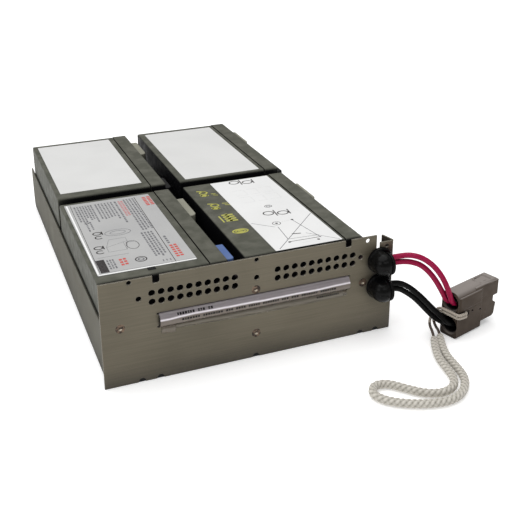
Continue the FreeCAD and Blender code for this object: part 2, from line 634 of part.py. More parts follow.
def inner_leads():
    """Leads from the glands to the blocks and the jumper between the two blocks of each column."""
    def spot(x, y, z):
        return (from_left(x), behind_front(y), z)

    lead_x = {side: left + BATTERY_W + BOOT_REACH / 2 for side, left in BATTERY_COLUMNS.items()}
    front_y, front_z = BATTERY_ROWS["front"]
    rear_y, rear_z = BATTERY_ROWS["rear"]
    near_end, near_z = front_y + BOOT_SPAN[0], front_z + TERMINAL_Z
    far_end, far_z = rear_y + COVER_SPAN[0], rear_z + TERMINAL_Z
    upper, lower = GLAND_Z["upper"], GLAND_Z["lower"]
    left, right = lead_x["left"], lead_x["right"]
    gap_x, side_x = left + 2.9, right + 0.7
    upper_z, lower_z = (upper + PAIR_OFFSET, upper - PAIR_OFFSET), (lower + PAIR_OFFSET, lower - PAIR_OFFSET)
    routes = {
        "lead_red_right": [spot(GLAND_X, GLAND_TAIL, upper_z[0]), spot(GLAND_X, 14.6, upper_z[0]),
                           spot(right, 22.6, near_z), spot(right, near_end, near_z)],
        "lead_red_left": [spot(GLAND_X, GLAND_TAIL, upper_z[1]), spot(GLAND_X, 14.0, upper_z[1]),
                          spot(200.4, 18.4, 50.4), spot(192.6, 19.8, 42.6), spot(178.0, 19.2, 40.8),
                          spot(156.0, 18.4, 41.4), spot(134.0, 19.0, 40.8), spot(118.0, 18.4, 41.8),
                          spot(107.4, 17.0, 48.6), spot(left, 21.8, near_z), spot(left, near_end, near_z)],
        "lead_black_right": [spot(GLAND_X, GLAND_TAIL, lower_z[0]), spot(GLAND_X, 15.0, lower_z[0]),
                             spot(side_x, 26.0, 39.9), spot(side_x, 44.0, 40.6), spot(side_x - 0.3, 90.0, 39.8),
                             spot(side_x, 136.0, 40.8), spot(side_x - 0.3, 182.0, 39.8), spot(side_x, 226.0, 41.0),
                             spot(side_x - 0.2, 246.0, 46.6), spot(right, 261.0, far_z),
                             spot(right, far_end, far_z)],
        "lead_black_left": [spot(GLAND_X, GLAND_TAIL, lower_z[1]), spot(GLAND_X, 14.0, lower_z[1]),
                            spot(199.4, 19.0, 34.4), spot(186.0, 19.8, 33.4), spot(160.0, 18.6, 33.6),
                            spot(134.0, 19.4, 33.2), spot(114.0, 18.6, 34.2), spot(105.4, 19.2, 35.8),
                            spot(gap_x, 28.0, 38.0), spot(gap_x, 44.0, 39.6), spot(gap_x + 0.8, 90.0, 40.4),
                            spot(gap_x - 0.4, 136.0, 39.8), spot(gap_x + 0.6, 182.0, 40.4),
                            spot(gap_x, 226.0, 41.0), spot(gap_x - 1.2, 246.0, 46.6), spot(left, 261.0, far_z),
                            spot(left, far_end, far_z)],
    }
    leads = {name: cord(name, CABLE_D, points) for name, points in routes.items()}
    jumper_z = (near_z + far_z) / 2
    start = behind_front(front_y + COVER_SPAN[1])
    length = behind_front(rear_y + BOOT_SPAN[0]) - start
    for side, x in lead_x.items():
        leads[f"jumper_{side}"] = rod(CABLE_D / 2, Vec(from_left(x), start, jumper_z), BACK, length)
    return leads


# ---------------------------------------------------------------- power connector
CHAMBERS = {"red": (24.2, 31.9), "black": (6.4, 14.1)}
CONTACT_END = 38.4
BLADE_T = (6.2, 8.0)
CHAMBER_T = (1.6, 13.4)
CRIMP_R = 5.6
SHOULDER_R = 5.0
MATING_R = 4.2
MATING_INSET = 0.5
SUNK_S = 29.6
SUNK_W = 7.2
SUNK_END = 41.0
SUNK_Z = 34.0


def connector_housing():
    """Two-pole genderless housing: round-shouldered cable end, and a stepped mating end with a sunk top."""
    t, inset = CONNECTOR_T, MATING_INSET
    shell = box(0, CONNECTOR_REAR + 1.4, 0, t, 0, CONNECTOR_H)
    shell = shell.makeFillet(SHOULDER_R, [e for e in edges_along(shell, RIGHT) if e.CenterOfMass.z > 32])
    shell = shell.makeFillet(2.0, [e for e in edges_along(shell, RIGHT) if e.CenterOfMass.z < 4])
    outline = [(20.0, 4.4), (41.0, 4.4), (44.0, 6.6), (45.5, 15.2), (41.8, 18.1), (41.8, 22.3), (CONNECTOR_L, 22.3),
               (CONNECTOR_L, 34.4), (31.0, 35.4), (20.0, 35.4)]
    mating = extrude([Vec(s, inset, z) for s, z in outline], Vec(0, t - 2 * inset, 0))
    mating = mating.makeFillet(1.2, [e for e in edges_along(mating, RIGHT) if e.CenterOfMass.z < 5])
    mating = mating.makeFillet(MATING_R, edges_where(mating, lambda c: c.z > 34.6 and c.y > t - 1))
    mating = mating.makeFillet(1.4, edges_where(mating, lambda c: c.z > 34.6 and c.y < 1))
    mating = mating.makeFillet(1.2, edges_where(mating, lambda c: c.z > 34 and c.x > CONNECTOR_L - 0.01))
    d_shape = joined([rod(SUNK_W / 2, Vec(SUNK_S, t / 2, SUNK_Z), UP, 6),
                      box(SUNK_S, SUNK_END, (t - SUNK_W) / 2, (t + SUNK_W) / 2, SUNK_Z, SUNK_Z + 6)])
    cutters = [d_shape, box(32.2, 35.8, 4.4, 5.4, SUNK_Z - 1.0, SUNK_Z + 1)]
    for colour, z in BARREL_Z.items():
        cutters.append(rod(BARREL_R, Vec(-1, t / 2, z), RIGHT, 24.4))
        cutters.append(Part.makeCone(BARREL_R + 1.1, BARREL_R, 1.4, Vec(0, t / 2, z), RIGHT))
        low, high = CHAMBERS[colour]
        cutters.append(box(22.6, CONNECTOR_L + 1, CHAMBER_T[0], CHAMBER_T[1], low, high))
    cutters.append(rod(TIE_HOLE_R, Vec(TIE_HOLE_S, -1, CONNECTOR_H / 2), BACK, t + 2))
    cutters += [rod(1.0, Vec(s, -1, z), BACK, 2.4 + inset) for s, z in ((17.0, 18.4), (26.4, 16.4))]
    cutters.append(box(11.9, 13.1, -1, 1.2, 16.2, 20.4))
    body = joined([shell, mating]).cut(Part.makeCompound(cutters))
    tongues = [box(23.4, CONTACT_END, CHAMBER_T[0], 4.6, low, high) for low, high in CHAMBERS.values()]
    return place_connector(joined([body] + tongues))


def connector_contacts():
    """Two plated contacts, each a round crimp barrel and a flat blade with a hooked tip."""
    solids = []
    for colour, z in BARREL_Z.items():
        low, high = CHAMBERS[colour]
        crimp = rod(CRIMP_R, Vec(CABLE_SEAT, CONNECTOR_T / 2, z), RIGHT, 9.4)
        blade = box(20, CONTACT_END - 0.6, BLADE_T[0], BLADE_T[1], low + 0.6, high - 0.6)
        hook = box(CONTACT_END - 2.4, CONTACT_END - 0.6, BLADE_T[0] - 0.9, BLADE_T[1], low + 0.6, high - 0.6)
        solids.append(joined([crimp, blade, hook]))
    return place_connector(grouped(solids))


def connector_springs():
    """Two leaf springs that press the contact blades towards their mates."""
    solids = []
    for low, high in CHAMBERS.values():
        arch = [Vec(24.6, 4.65, low + 1.2), Vec(29.8, 5.75, low + 1.2), Vec(35.0, 4.65, low + 1.2)]
        lower = [Vec(p.x, p.y + 0.4, p.z) for p in reversed(arch)]
        edges = [Part.Arc(*arch).toShape(), Part.LineSegment(arch[2], lower[0]).toShape(),
                 Part.Arc(*lower).toShape(), Part.LineSegment(lower[2], arch[0]).toShape()]
        solids.append(Part.Face(Part.Wire(edges)).extrude(UP * (high - low - 2.4)))
    return place_connector(grouped(solids))


# ---------------------------------------------------------------- assembly
def battery_nodes():
    """Every piece of the four blocks, in place."""
    nodes = {}
    for row, (front, underside) in BATTERY_ROWS.items():
        for side, left in BATTERY_COLUMNS.items():
            name = f"{row}_{side}"
            place = Vec(from_left(left), behind_front(front), underside)
            low_boot = name != "front_left"
            cover_heights = LOW_COVER_HEIGHTS if side == "right" else BOOT_HEIGHTS
            pieces = {
                "case": battery_case(), "lid": battery_lid(), "vent_cover": battery_vent_cover(),
                "terminals": battery_terminals(), "label": battery_label(name),
                "terminal_cover": terminal_boot(COVER_SPAN, cover_heights, COVER_ROUND),
                "terminal_boot": terminal_boot(BOOT_SPAN, LOW_BOOT_HEIGHTS if low_boot else BOOT_HEIGHTS, 2.5),
            }
            for piece, shape in pieces.items():
                shape.translate(place)
                nodes[f"{piece}_{name}"] = shape
    return nodes


def build():
    """All nodes by name."""
    nodes = {
        "tray": tray(),
        "front_panel": front_panel(),
        "panel_rivets": panel_rivets(),
        "pull_handle": pull_handle(),
        "gland_upper": gland(GLAND_Z["upper"]),
        "gland_lower": gland(GLAND_Z["lower"]),
        "mounting_pads_front": mounting_pads("front"),
        "mounting_pads_rear": mounting_pads("rear"),
        "connector_housing": connector_housing(),
        "connector_contacts": connector_contacts(),
        "connector_springs": connector_springs(),
    }
    nodes.update(battery_nodes())
    nodes.update(inner_leads())
    nodes.update(power_cables())
    nodes.update(pull_cords())
    return nodes


def main():
    """Write one STEP file for each node."""
    os.makedirs("parts", exist_ok=True)
    for name, shape in build().items():
        shape.exportStep(os.path.join("parts", f"{name}.step"))
        state = "valid" if shape.isValid() else "NOT VALID"
        print(f"{name}: {len(shape.Solids)} solids, {shape.Volume:.0f} mm3, {state}")


if __name__ == "__main__":
    main()
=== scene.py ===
import logging
import math
import random
from collections.abc import Callable
from dataclasses import dataclass, field
from enum import Enum

import bmesh
import bpy
from mathutils import Matrix, Vector


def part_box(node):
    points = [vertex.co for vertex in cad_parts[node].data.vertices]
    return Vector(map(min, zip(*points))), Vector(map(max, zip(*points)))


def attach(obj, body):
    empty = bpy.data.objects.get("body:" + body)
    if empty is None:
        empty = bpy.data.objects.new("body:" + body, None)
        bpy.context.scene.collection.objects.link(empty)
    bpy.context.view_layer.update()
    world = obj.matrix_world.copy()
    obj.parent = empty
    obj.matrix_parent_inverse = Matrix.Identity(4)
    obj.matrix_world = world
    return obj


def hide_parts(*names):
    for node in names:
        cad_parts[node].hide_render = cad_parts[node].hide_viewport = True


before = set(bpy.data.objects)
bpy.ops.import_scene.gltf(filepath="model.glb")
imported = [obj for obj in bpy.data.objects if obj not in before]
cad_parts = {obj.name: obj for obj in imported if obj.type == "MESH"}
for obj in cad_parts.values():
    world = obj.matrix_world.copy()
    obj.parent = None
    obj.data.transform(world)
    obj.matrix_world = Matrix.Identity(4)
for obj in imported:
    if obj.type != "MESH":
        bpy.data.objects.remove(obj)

LOG = logging.getLogger("battery_cartridge")
MM = 0.001
ROOT = "root"
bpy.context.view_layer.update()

Colour = tuple[float, float, float]
Point = tuple[float, float, float]
Pair = tuple[float, float]
Socket = bpy.types.NodeSocket
Material = bpy.types.Material
Mesh = bmesh.types.BMesh
Ring = list[bmesh.types.BMVert]


class Side(Enum):
    """The two columns of blocks, seen from the front panel."""

    LEFT = "left"
    RIGHT = "right"


class Row(Enum):
    """The two rows of blocks."""

    FRONT = "front"
    REAR = "rear"


class Grain(Enum):
    """Which way the rolling lines of a steel sheet run."""

    ALONG_X = (26.0, 1500.0, 1500.0)
    ALONG_Y = (1500.0, 26.0, 1500.0)


class Ink(Enum):
    """Printing colours on the labels and the film."""

    WHITE = (0.80, 0.80, 0.79)
    PALE = (0.62, 0.62, 0.62)
    GREY = (0.14, 0.14, 0.15)
    DARK = (0.030, 0.026, 0.026)
    RED = (0.50, 0.085, 0.07)
    PINK = (0.46, 0.21, 0.21)
    OCHRE = (0.40, 0.39, 0.085)
    BLACK = (0.006, 0.005, 0.005)


# ---------------------------------------------------------------- finishes
class Graph:
    """Node tree of one material, built step by step."""

    def __init__(self, name: str) -> None:
        """Start a tree that holds only a principled shader and an output.

        Args:
            name: Name of the new material.
        """
        self.material = bpy.data.materials.new(name)
        self.material.use_nodes = True
        self.nodes = self.material.node_tree.nodes
        self.links = self.material.node_tree.links
        self.nodes.clear()
        self.shader = self.nodes.new("ShaderNodeBsdfPrincipled")
        output = self.nodes.new("ShaderNodeOutputMaterial")
        self.links.new(self.shader.outputs["BSDF"], output.inputs["Surface"])
        self.place = self.nodes.new("ShaderNodeTexCoord").outputs["Object"]

    def fix(self, **sockets: float) -> None:
        """Set constant values on the shader's own sockets, named with _ for spaces."""
        for name, value in sockets.items():
            self.shader.inputs[name.replace("_", " ")].default_value = value

    def feed(self, socket: str, value: Socket) -> None:
        """Link a varying value into one of the shader's sockets."""
        self.links.new(value, self.shader.inputs[socket])

    def stretched(self, scale: Point, turn: float = 0.0) -> Socket:
        """Scale the object coordinates.

        Args:
            scale: Factor for each axis.
            turn: Turn about Z, in radians.

        Returns:
            The scaled coordinates.
        """
        node = self.nodes.new("ShaderNodeMapping")
        self.links.new(self.place, node.inputs["Vector"])
        node.inputs["Rotation"].default_value = (0.0, 0.0, turn)
        node.inputs["Scale"].default_value = scale
        return node.outputs["Vector"]

    def noise(self, scale: float, detail: float, vector: Socket | None = None) -> Socket:
        """Cloudy noise between 0 and 1.

        Args:
            scale: Cells per metre, or per scaled unit.
            detail: Octaves.
            vector: Coordinates, or the object's own.

        Returns:
            The noise value.
        """
        node = self.nodes.new("ShaderNodeTexNoise")
        self.links.new(vector or self.place, node.inputs["Vector"])
        node.inputs["Scale"].default_value = scale
        node.inputs["Detail"].default_value = detail
        return node.outputs["Fac"]

    def cells(self, scale: float) -> Socket:
        """Distance to the nearest of many scattered points.

        Args:
            scale: How many points lie along a metre.

        Returns:
            The distance's socket.
        """
        node = self.nodes.new("ShaderNodeTexVoronoi")
        self.links.new(self.place, node.inputs["Vector"])
        node.inputs["Scale"].default_value = scale
        return node.outputs["Distance"]

    def attribute(self, name: str) -> Socket:
        """Value that the mesh carries at each vertex.

        Args:
            name: Name of the vertex layer.

        Returns:
            The value's socket.
        """
        node = self.nodes.new("ShaderNodeAttribute")
        node.attribute_name = name
        return node.outputs["Fac"]

    def span(self, value: Socket, low: float, high: float, start: float = 0.0, end: float = 1.0) -> Socket:
        """Map a value from one range to another, clamped.

        Args:
            value: What is mapped.
            low: Lower end of the range it has.
            high: Upper end of the range it has.
            start: Result at the lower end.
            end: Result at the upper end.

        Returns:
            The mapped value.
        """
        node = self.nodes.new("ShaderNodeMapRange")
        self.links.new(value, node.inputs["Value"])
        for socket, number in (("From Min", low), ("From Max", high), ("To Min", start), ("To Max", end)):
            node.inputs[socket].default_value = number
        return node.outputs["Result"]

    def mottle(self, scale: float, detail: float, start: float, end: float, reach: Pair = (0.3, 0.7),
               vector: Socket | None = None) -> Socket:
        """Cloudy noise spread over a range.

        Args:
            scale: Cells per metre, or per scaled unit.
            detail: Octaves.
            start: Lowest result.
            end: Highest result.
            reach: Noise values that give the lowest and the highest result.
            vector: Coordinates, or the object's own.

        Returns:
            The noise in its new range.
        """
        return self.span(self.noise(scale, detail, vector), *reach, start, end)

    def sums(self, operation: str, first: Socket, second: Socket | float) -> Socket:
        """Combine two values.

        Args:
            operation: Name of the arithmetic, such as MULTIPLY.
            first: One value.
            second: The other value, varying or constant.

        Returns:
            The result.
        """
        node = self.nodes.new("ShaderNodeMath")
        node.operation = operation
        self.links.new(first, node.inputs[0])
        if isinstance(second, float):
            node.inputs[1].default_value = second
        else:
            self.links.new(second, node.inputs[1])
        return node.outputs["Value"]

    def times(self, first: Socket, second: Socket | float) -> Socket:
        """Product of two values."""
        return self.sums("MULTIPLY", first, second)

    def mixed(self, first: Socket, second: Socket, share: float) -> Socket:
        """Weighted sum of two values, with the first one's share given."""
        return self.sums("ADD", self.times(first, share), self.times(second, 1.0 - share))

    def blend(self, factor: Socket, first: Colour | Socket, second: Colour | Socket) -> Socket:
        """Blend two colours by a varying factor.

        Args:
            factor: 0 gives the first, 1 the second.
            first: Colour, constant or varying.
            second: Colour, constant or varying.

        Returns:
            The blended colour.
        """
        node = self.nodes.new("ShaderNodeMix")
        node.data_type = "RGBA"
        self.links.new(factor, node.inputs[0])
        for index, colour in ((6, first), (7, second)):
            if isinstance(colour, tuple):
                node.inputs[index].default_value = (*colour, 1.0)
            else:
                self.links.new(colour, node.inputs[index])
        return node.outputs[2]

    def rounded(self, radius: float) -> Socket:
        """Normal that rounds the edges off.

        Args:
            radius: Radius in metres.

        Returns:
            The normal's socket.
        """
        node = self.nodes.new("ShaderNodeBevel")
        node.samples = 4
        node.inputs["Radius"].default_value = radius
        return node.outputs["Normal"]

    def edges(self, normal: Socket) -> Socket:
        """Mask of the edges.

        Args:
            normal: A rounded normal.

        Returns:
            Socket that is 1 on edges and 0 on flats.
        """
        geometry = self.nodes.new("ShaderNodeNewGeometry")
        dot = self.nodes.new("ShaderNodeVectorMath")
        dot.operation = "DOT_PRODUCT"
        self.links.new(normal, dot.inputs[0])
        self.links.new(geometry.outputs["Normal"], dot.inputs[1])
        return self.span(dot.outputs["Value"], 0.995, 0.86)

    def tilt(self, low: float, high: float, start: float = 0.0, end: float = 1.0) -> Socket:
        """Value that follows how far the surface faces up.

        Args:
            low: Upward part of the normal where the value starts.
            high: Upward part of the normal where it ends.
            start: Value there at first.
            end: Value there at last.

        Returns:
            The value.
        """
        geometry = self.nodes.new("ShaderNodeNewGeometry")
        parts = self.nodes.new("ShaderNodeSeparateXYZ")
        self.links.new(geometry.outputs["Normal"], parts.inputs["Vector"])
        return self.span(parts.outputs["Z"], low, high, start, end)

    def upward(self) -> Socket:
        """Value that is 1 where the surface faces up and 0 where it is upright."""
        return self.tilt(0.3, 0.9)

    def shelter(self, reach: float, low: float, high: float) -> Socket:
        """Mask of sheltered places, where little light gets in, used to paint shade into a colour.

        Args:
            reach: How far away a neighbour still shelters the surface, in metres.
            low: Openness below which the mask is 1.
            high: Openness above which it is 0.

        Returns:
            The mask.
        """
        node = self.nodes.new("ShaderNodeAmbientOcclusion")
        node.samples = 8
        node.inputs["Distance"].default_value = reach
        return self.span(node.outputs["AO"], low, high, 1.0, 0.0)

    def bump(self, height: Socket, depth: float, strength: float, normal: Socket | None = None) -> Socket:
        """Raise and lower the surface's shading by a height value.

        Args:
            height: Height between 0 and 1.
            depth: Real depth of that height, in metres.
            strength: How much of it is shown.
            normal: Normal that is bent, or the surface's own.

        Returns:
            The bent normal.
        """
        node = self.nodes.new("ShaderNodeBump")
        node.inputs["Strength"].default_value = strength
        node.inputs["Distance"].default_value = depth
        self.links.new(height, node.inputs["Height"])
        if normal is not None:
            self.links.new(normal, node.inputs["Normal"])
        return node.outputs["Normal"]


@dataclass(frozen=True)
class Finish:
    """A surface finish, built as a node material."""

    name: str

    def paint(self, graph: Graph) -> None:
        """Add the finish's nodes to a graph."""
        raise NotImplementedError

    def make(self) -> Material:
        """Build the material.

        Returns:
            The finished material.
        """
        graph = Graph(self.name)
        self.paint(graph)
        return graph.material


@dataclass(frozen=True)
class SheetSteel(Finish):
    """Satin steel sheet with rolling lines, handling marks, pale edges and painted shade in sheltered places.
    """

    light: Colour
    dark: Colour
    edge: Colour
    grain: Grain
    metallic: float = 0.45
    gloss: Pair = (0.34, 0.52)
    specular: float = 0.4
    edge_radius: float = 0.0006
    painted_shade: Colour = (0.012, 0.012, 0.014)
    painted_shade_reach: float = 0.04

    def paint(self, graph: Graph) -> None:
        """Add the rolled tone, the pale edges, partly wear and partly painted highlight, and the painted
        shade.

        Args:
            graph: Graph of the material.
        """
        lines = graph.noise(1.0, 4.0, graph.stretched(self.grain.value))
        clouds = graph.noise(14.0, 3.0)
        tone = graph.blend(graph.span(graph.mixed(lines, clouds, 0.45), 0.36, 0.64), self.dark, self.light)
        normal = graph.rounded(self.edge_radius)
        # Pale edges: partly bright cut metal, partly a painted highlight that is strongest where an edge
        # faces up.
        edge_tint = graph.times(graph.edges(normal), graph.mottle(260.0, 3.0, 0.5, 1.0, (0.3, 0.6)))
        edge_tint = graph.times(edge_tint, graph.sums("ADD", graph.times(graph.upward(), 0.75), 0.25))
        # Painted shade: sheltered places darken towards the shade colour and lose their pale edges.
        hidden = graph.shelter(self.painted_shade_reach, 0.3, 0.72)
        edge_tint = graph.times(edge_tint, graph.span(hidden, 0.0, 0.6, 1.0, 0.0))
        graph.feed("Base Color", graph.blend(edge_tint, graph.blend(hidden, tone, self.painted_shade), self.edge))
        graph.fix(Metallic=self.metallic, Specular_IOR_Level=self.specular)
        graph.fix(Coat_Weight=0.04, Coat_Roughness=0.3)
        polish = graph.mixed(lines, graph.noise(46.0, 4.0), 0.5)
        graph.feed("Roughness", graph.span(polish, 0.35, 0.65, *self.gloss))
        fine = graph.bump(lines, 0.00002, 0.5, normal)
        graph.feed("Normal", graph.bump(clouds, 0.0003, 0.35, fine))


@dataclass(frozen=True)
class MouldedPlastic(Finish):
    """Moulded plastic with spark grain, flow clouding, scuffs, dust, painted top light, painted shade and
    paler edges.
    """

    colour: Colour
    cloud: Colour
    edge: Colour
    roughness: Pair = (0.42, 0.6)
    grain: float = 0.00003
    scuffs: float = 0.35
    dust: float = 0.12
    dust_and_top_light_colour: Colour = (0.30, 0.29, 0.25)
    top_light: float = 0.0
    edge_radius: float = 0.0005
    shelter: float = 0.035
    closed: Pair = (0.25, 0.72)
    shade: Colour = (0.004, 0.004, 0.005)
    specular: float = 0.3

    def paint(self, graph: Graph) -> None:
        """Add the clouded tone, scuffs, dust with painted light on up-facing faces, painted sheltered shade,
        worn edges and grain.

        Args:
            graph: Graph of the material.
        """
        tone = graph.blend(graph.mottle(38.0, 4.0, 0.0, 1.0), self.colour, self.cloud)
        scratches = graph.noise(1.0, 2.0, graph.stretched((70.0, 1900.0, 1900.0), 0.6))
        marks = graph.times(graph.span(scratches, 0.66, 0.74, 0.0, self.scuffs),
                            graph.mottle(22.0, 2.0, 0.0, 1.0, (0.5, 0.62)))
        tone = graph.blend(marks, tone, self.edge)
        dust_and_top_light = graph.times(graph.upward(), graph.mottle(90.0, 5.0, 0.0, self.dust, (0.4, 0.75)))
        # Painted light: faces that look up are lightened towards the dust colour by a fixed share, whatever
        # the dust.
        dust_and_top_light = graph.sums("MAXIMUM", dust_and_top_light, graph.times(graph.upward(), self.top_light))
        tone = graph.blend(dust_and_top_light, tone, self.dust_and_top_light_colour)
        # Painted shade: the colour goes dark where neighbours shelter the surface.
        tone = graph.blend(graph.shelter(self.shelter, *self.closed), tone, self.shade)
        normal = graph.rounded(self.edge_radius)
        edge_tint = graph.times(graph.edges(normal), graph.mottle(320.0, 3.0, 0.1, 0.6))
        graph.feed("Base Color", graph.blend(edge_tint, tone, self.edge))
        graph.feed("Roughness", graph.mottle(150.0, 4.0, *self.roughness))
        graph.fix(Specular_IOR_Level=self.specular)
        spark = graph.bump(graph.noise(3800.0, 2.0), self.grain, 0.6, normal)
        graph.feed("Normal", graph.bump(graph.noise(55.0, 2.0), 0.0002, 0.25, spark))


@dataclass(frozen=True)
class CableJacket(Finish):
    """Extruded cable insulation: smooth, slightly waxy, with faint drawing marks and painted shade where it
    is sheltered.
    """

    colour: Colour
    bloom: Colour
    roughness: Pair = (0.26, 0.42)
    coat: float = 0.12
    specular: float = 0.25
    shelter: float = 0.02
    closed: Pair = (0.1, 0.45)
    shade: Colour = (0.002, 0.002, 0.003)

    def paint(self, graph: Graph) -> None:
        """Add the waxy tone, the sheltered shade and the drawing marks.

        Args:
            graph: Graph of the material.
        """
        tone = graph.blend(graph.mottle(120.0, 4.0, 0.0, 0.4, (0.45, 0.8)), self.colour, self.bloom)
        # Painted shade: the colour goes dark where neighbours shelter the jacket.
        graph.feed("Base Color", graph.blend(graph.shelter(self.shelter, *self.closed), tone, self.shade))
        graph.feed("Roughness", graph.mottle(420.0, 3.0, *self.roughness))
        graph.fix(Coat_Weight=self.coat, Coat_Roughness=0.06, Specular_IOR_Level=self.specular)
        drawn = graph.bump(graph.noise(900.0, 2.0), 0.00003, 0.5)
        graph.feed("Normal", graph.bump(graph.noise(160.0, 2.0), 0.00012, 0.3, drawn))


@dataclass(frozen=True)
class ClearFilm(Finish):
    """Clear polyester film, with a painted highlight along its bend and a hazy tint above it, which on the
    strap is a painted reflection.

    The opacities are those above, on and below the bend. What lies behind the panel is nearly clear.
    """

    haze_and_reflection: Colour
    crease_highlight: Colour
    crease_height: float
    crease_reach: float
    opacity: tuple[float, float, float]
    below: Colour | None = None
    behind: float = -0.1720
    behind_fall: float = 0.0003
    behind_share: float = 0.03

    def paint(self, graph: Graph) -> None:
        """Add the hazy tint, the wandering painted highlight along the bend and the film's opacity.

        Args:
            graph: Graph of the material.
        """
        parts = graph.nodes.new("ShaderNodeSeparateXYZ")
        graph.links.new(graph.place, parts.inputs["Vector"])
        wander = graph.mottle(1.0, 2.0, -0.0004, 0.0004, vector=graph.stretched((30.0, 4.0, 4.0)))
        height = graph.sums("ADD", parts.outputs["Z"], wander)
        top, reach = self.crease_height, self.crease_reach
        rise = graph.span(height, top - reach, top - reach * 0.3)
        fall = graph.span(height, top + reach * 0.2, top + reach, 1.0, 0.0)
        crease_highlight = graph.times(rise, fall)
        above = graph.span(height, top - reach * 0.6, top)
        film = self.haze_and_reflection if self.below is None else graph.blend(above, self.below, self.haze_and_reflection)
        # Painted highlight: a pale band along the bend stands in for the light that the film catches there.
        graph.feed("Base Color", graph.blend(crease_highlight, film, self.crease_highlight))
        over, on, under = self.opacity
        cover = graph.sums("ADD", graph.times(above, over - under), under)
        cover = graph.sums("MAXIMUM", cover, graph.times(crease_highlight, on))
        cloud = graph.mottle(1.0, 3.0, 0.88, 1.08, vector=graph.stretched((20.0, 200.0, 200.0)))
        start = self.behind - self.behind_fall
        outside = graph.span(parts.outputs["Y"], start, self.behind, 1.0, self.behind_share)
        graph.feed("Alpha", graph.times(graph.times(cover, cloud), outside))
        graph.feed("Roughness", graph.mottle(240.0, 3.0, 0.14, 0.28))
        graph.fix(Coat_Weight=0.2, Coat_Roughness=0.08, Specular_IOR_Level=0.4, IOR=1.57)
        ripples = graph.noise(1.0, 2.0, graph.stretched((16.0, 120.0, 120.0)))
        graph.feed("Normal", graph.bump(ripples, 0.0004, 0.25))


@dataclass(frozen=True)
class PaperLabel(Finish):
    """Coated paper label: nearly white, fine fibre, faint handling marks and a greyer rim."""

    colour: Colour
    shade: Colour

    def paint(self, graph: Graph) -> None:
        """Add the fibre, the handling marks and the rim.

        Args:
            graph: Graph of the material.
        """
        fibre = graph.noise(2400.0, 3.0)
        mixed = graph.mixed(fibre, graph.noise(26.0, 4.0), 0.3)
        tone = graph.blend(graph.span(mixed, 0.4, 0.68), self.colour, self.shade)
        normal = graph.rounded(0.0003)
        graph.feed("Base Color", graph.blend(graph.times(graph.edges(normal), 0.5), tone, self.shade))
        graph.feed("Roughness", graph.mottle(700.0, 3.0, 0.42, 0.6))
        graph.fix(Specular_IOR_Level=0.45, Sheen_Weight=0.03)
        lay = graph.bump(graph.noise(30.0, 2.0), 0.0004, 0.2, normal)
        graph.feed("Normal", graph.bump(fibre, 0.00002, 0.5, lay))


@dataclass(frozen=True)
class PrintInk(Finish):
    """Printed ink with the small breaks of a fast press. The black one breaks up least."""

    ink: Ink
    fading: float = 0.05

    def paint(self, graph: Graph) -> None:
        """Add the broken tone of the print.

        Args:
            graph: Graph of the material.
        """
        base = self.ink.value
        lighter = 0.0 if self.ink is Ink.BLACK else self.fading
        pale = tuple(min(1.0, part * 1.25 + lighter) for part in base)
        graph.feed("Base Color", graph.blend(graph.mottle(1300.0, 3.0, 0.0, 0.8, (0.4, 0.7)), base, pale))
        graph.feed("Roughness", graph.mottle(500.0, 2.0, 0.4, 0.6))
        graph.fix(Specular_IOR_Level=0.12)


@dataclass(frozen=True)
class PlatedMetal(Finish):
    """Plated or bare metal with fine tooling lines and dulled patches."""

    bright: Colour
    dull: Colour
    roughness: Pair = (0.2, 0.42)

    def paint(self, graph: Graph) -> None:
        """Add the dulled patches and the tooling lines.

        Args:
            graph: Graph of the material.
        """
        patches = graph.noise(420.0, 4.0)
        lines = graph.noise(1.0, 3.0, graph.stretched((300.0, 300.0, 4200.0)))
        graph.feed("Base Color", graph.blend(graph.span(patches, 0.38, 0.66), self.bright, self.dull))
        graph.feed("Roughness", graph.span(patches, 0.35, 0.7, *self.roughness))
        graph.fix(Metallic=1.0)
        graph.feed("Normal", graph.bump(lines, 0.00002, 0.5, graph.rounded(0.0002)))


@dataclass(frozen=True)
class PierceRivet(Finish):
    """Flush rivet with a struck middle: tarnished, with painted shade on the upper side of its pit and a
    painted highlight on the lower side.
    """

    pit_highlight: Colour
    tarnish_and_shade: Colour
    copper: Colour

    def paint(self, graph: Graph) -> None:
        """Add the tarnished patches, the painted shade on the pit's down-facing upper side and the painted
        highlight on its up-facing lower side.

        Args:
            graph: Graph of the material.
        """
        patches = graph.noise(500.0, 4.0)
        face = graph.blend(graph.span(patches, 0.4, 0.6), self.copper, self.tarnish_and_shade)
        # Painted highlight where the pit faces up, painted shade where it faces down.
        lit_side = graph.blend(graph.tilt(0.12, 0.5), face, self.pit_highlight)
        graph.feed("Base Color", graph.blend(graph.tilt(-0.5, -0.12, 1.0, 0.0), lit_side, self.tarnish_and_shade))
        graph.feed("Roughness", graph.span(patches, 0.3, 0.7, 0.3, 0.5))
        graph.fix(Metallic=0.6)
        graph.feed("Normal", graph.bump(patches, 0.0001, 0.6))


@dataclass(frozen=True)
class FoamTape(Finish):
    """Closed-cell foam strip with open pores on its cut faces."""

    colour: Colour
    pore: Colour

    def paint(self, graph: Graph) -> None:
        """Add the pores.

        Args:
            graph: Graph of the material.
        """
        pores = graph.cells(1500.0)
        graph.feed("Base Color", graph.blend(graph.span(pores, 0.15, 0.5, 1.0, 0.0), self.colour, self.pore))
        graph.feed("Roughness", graph.mottle(200.0, 2.0, 0.8, 0.95))
        graph.feed("Normal", graph.bump(pores, 0.0003, 0.8))


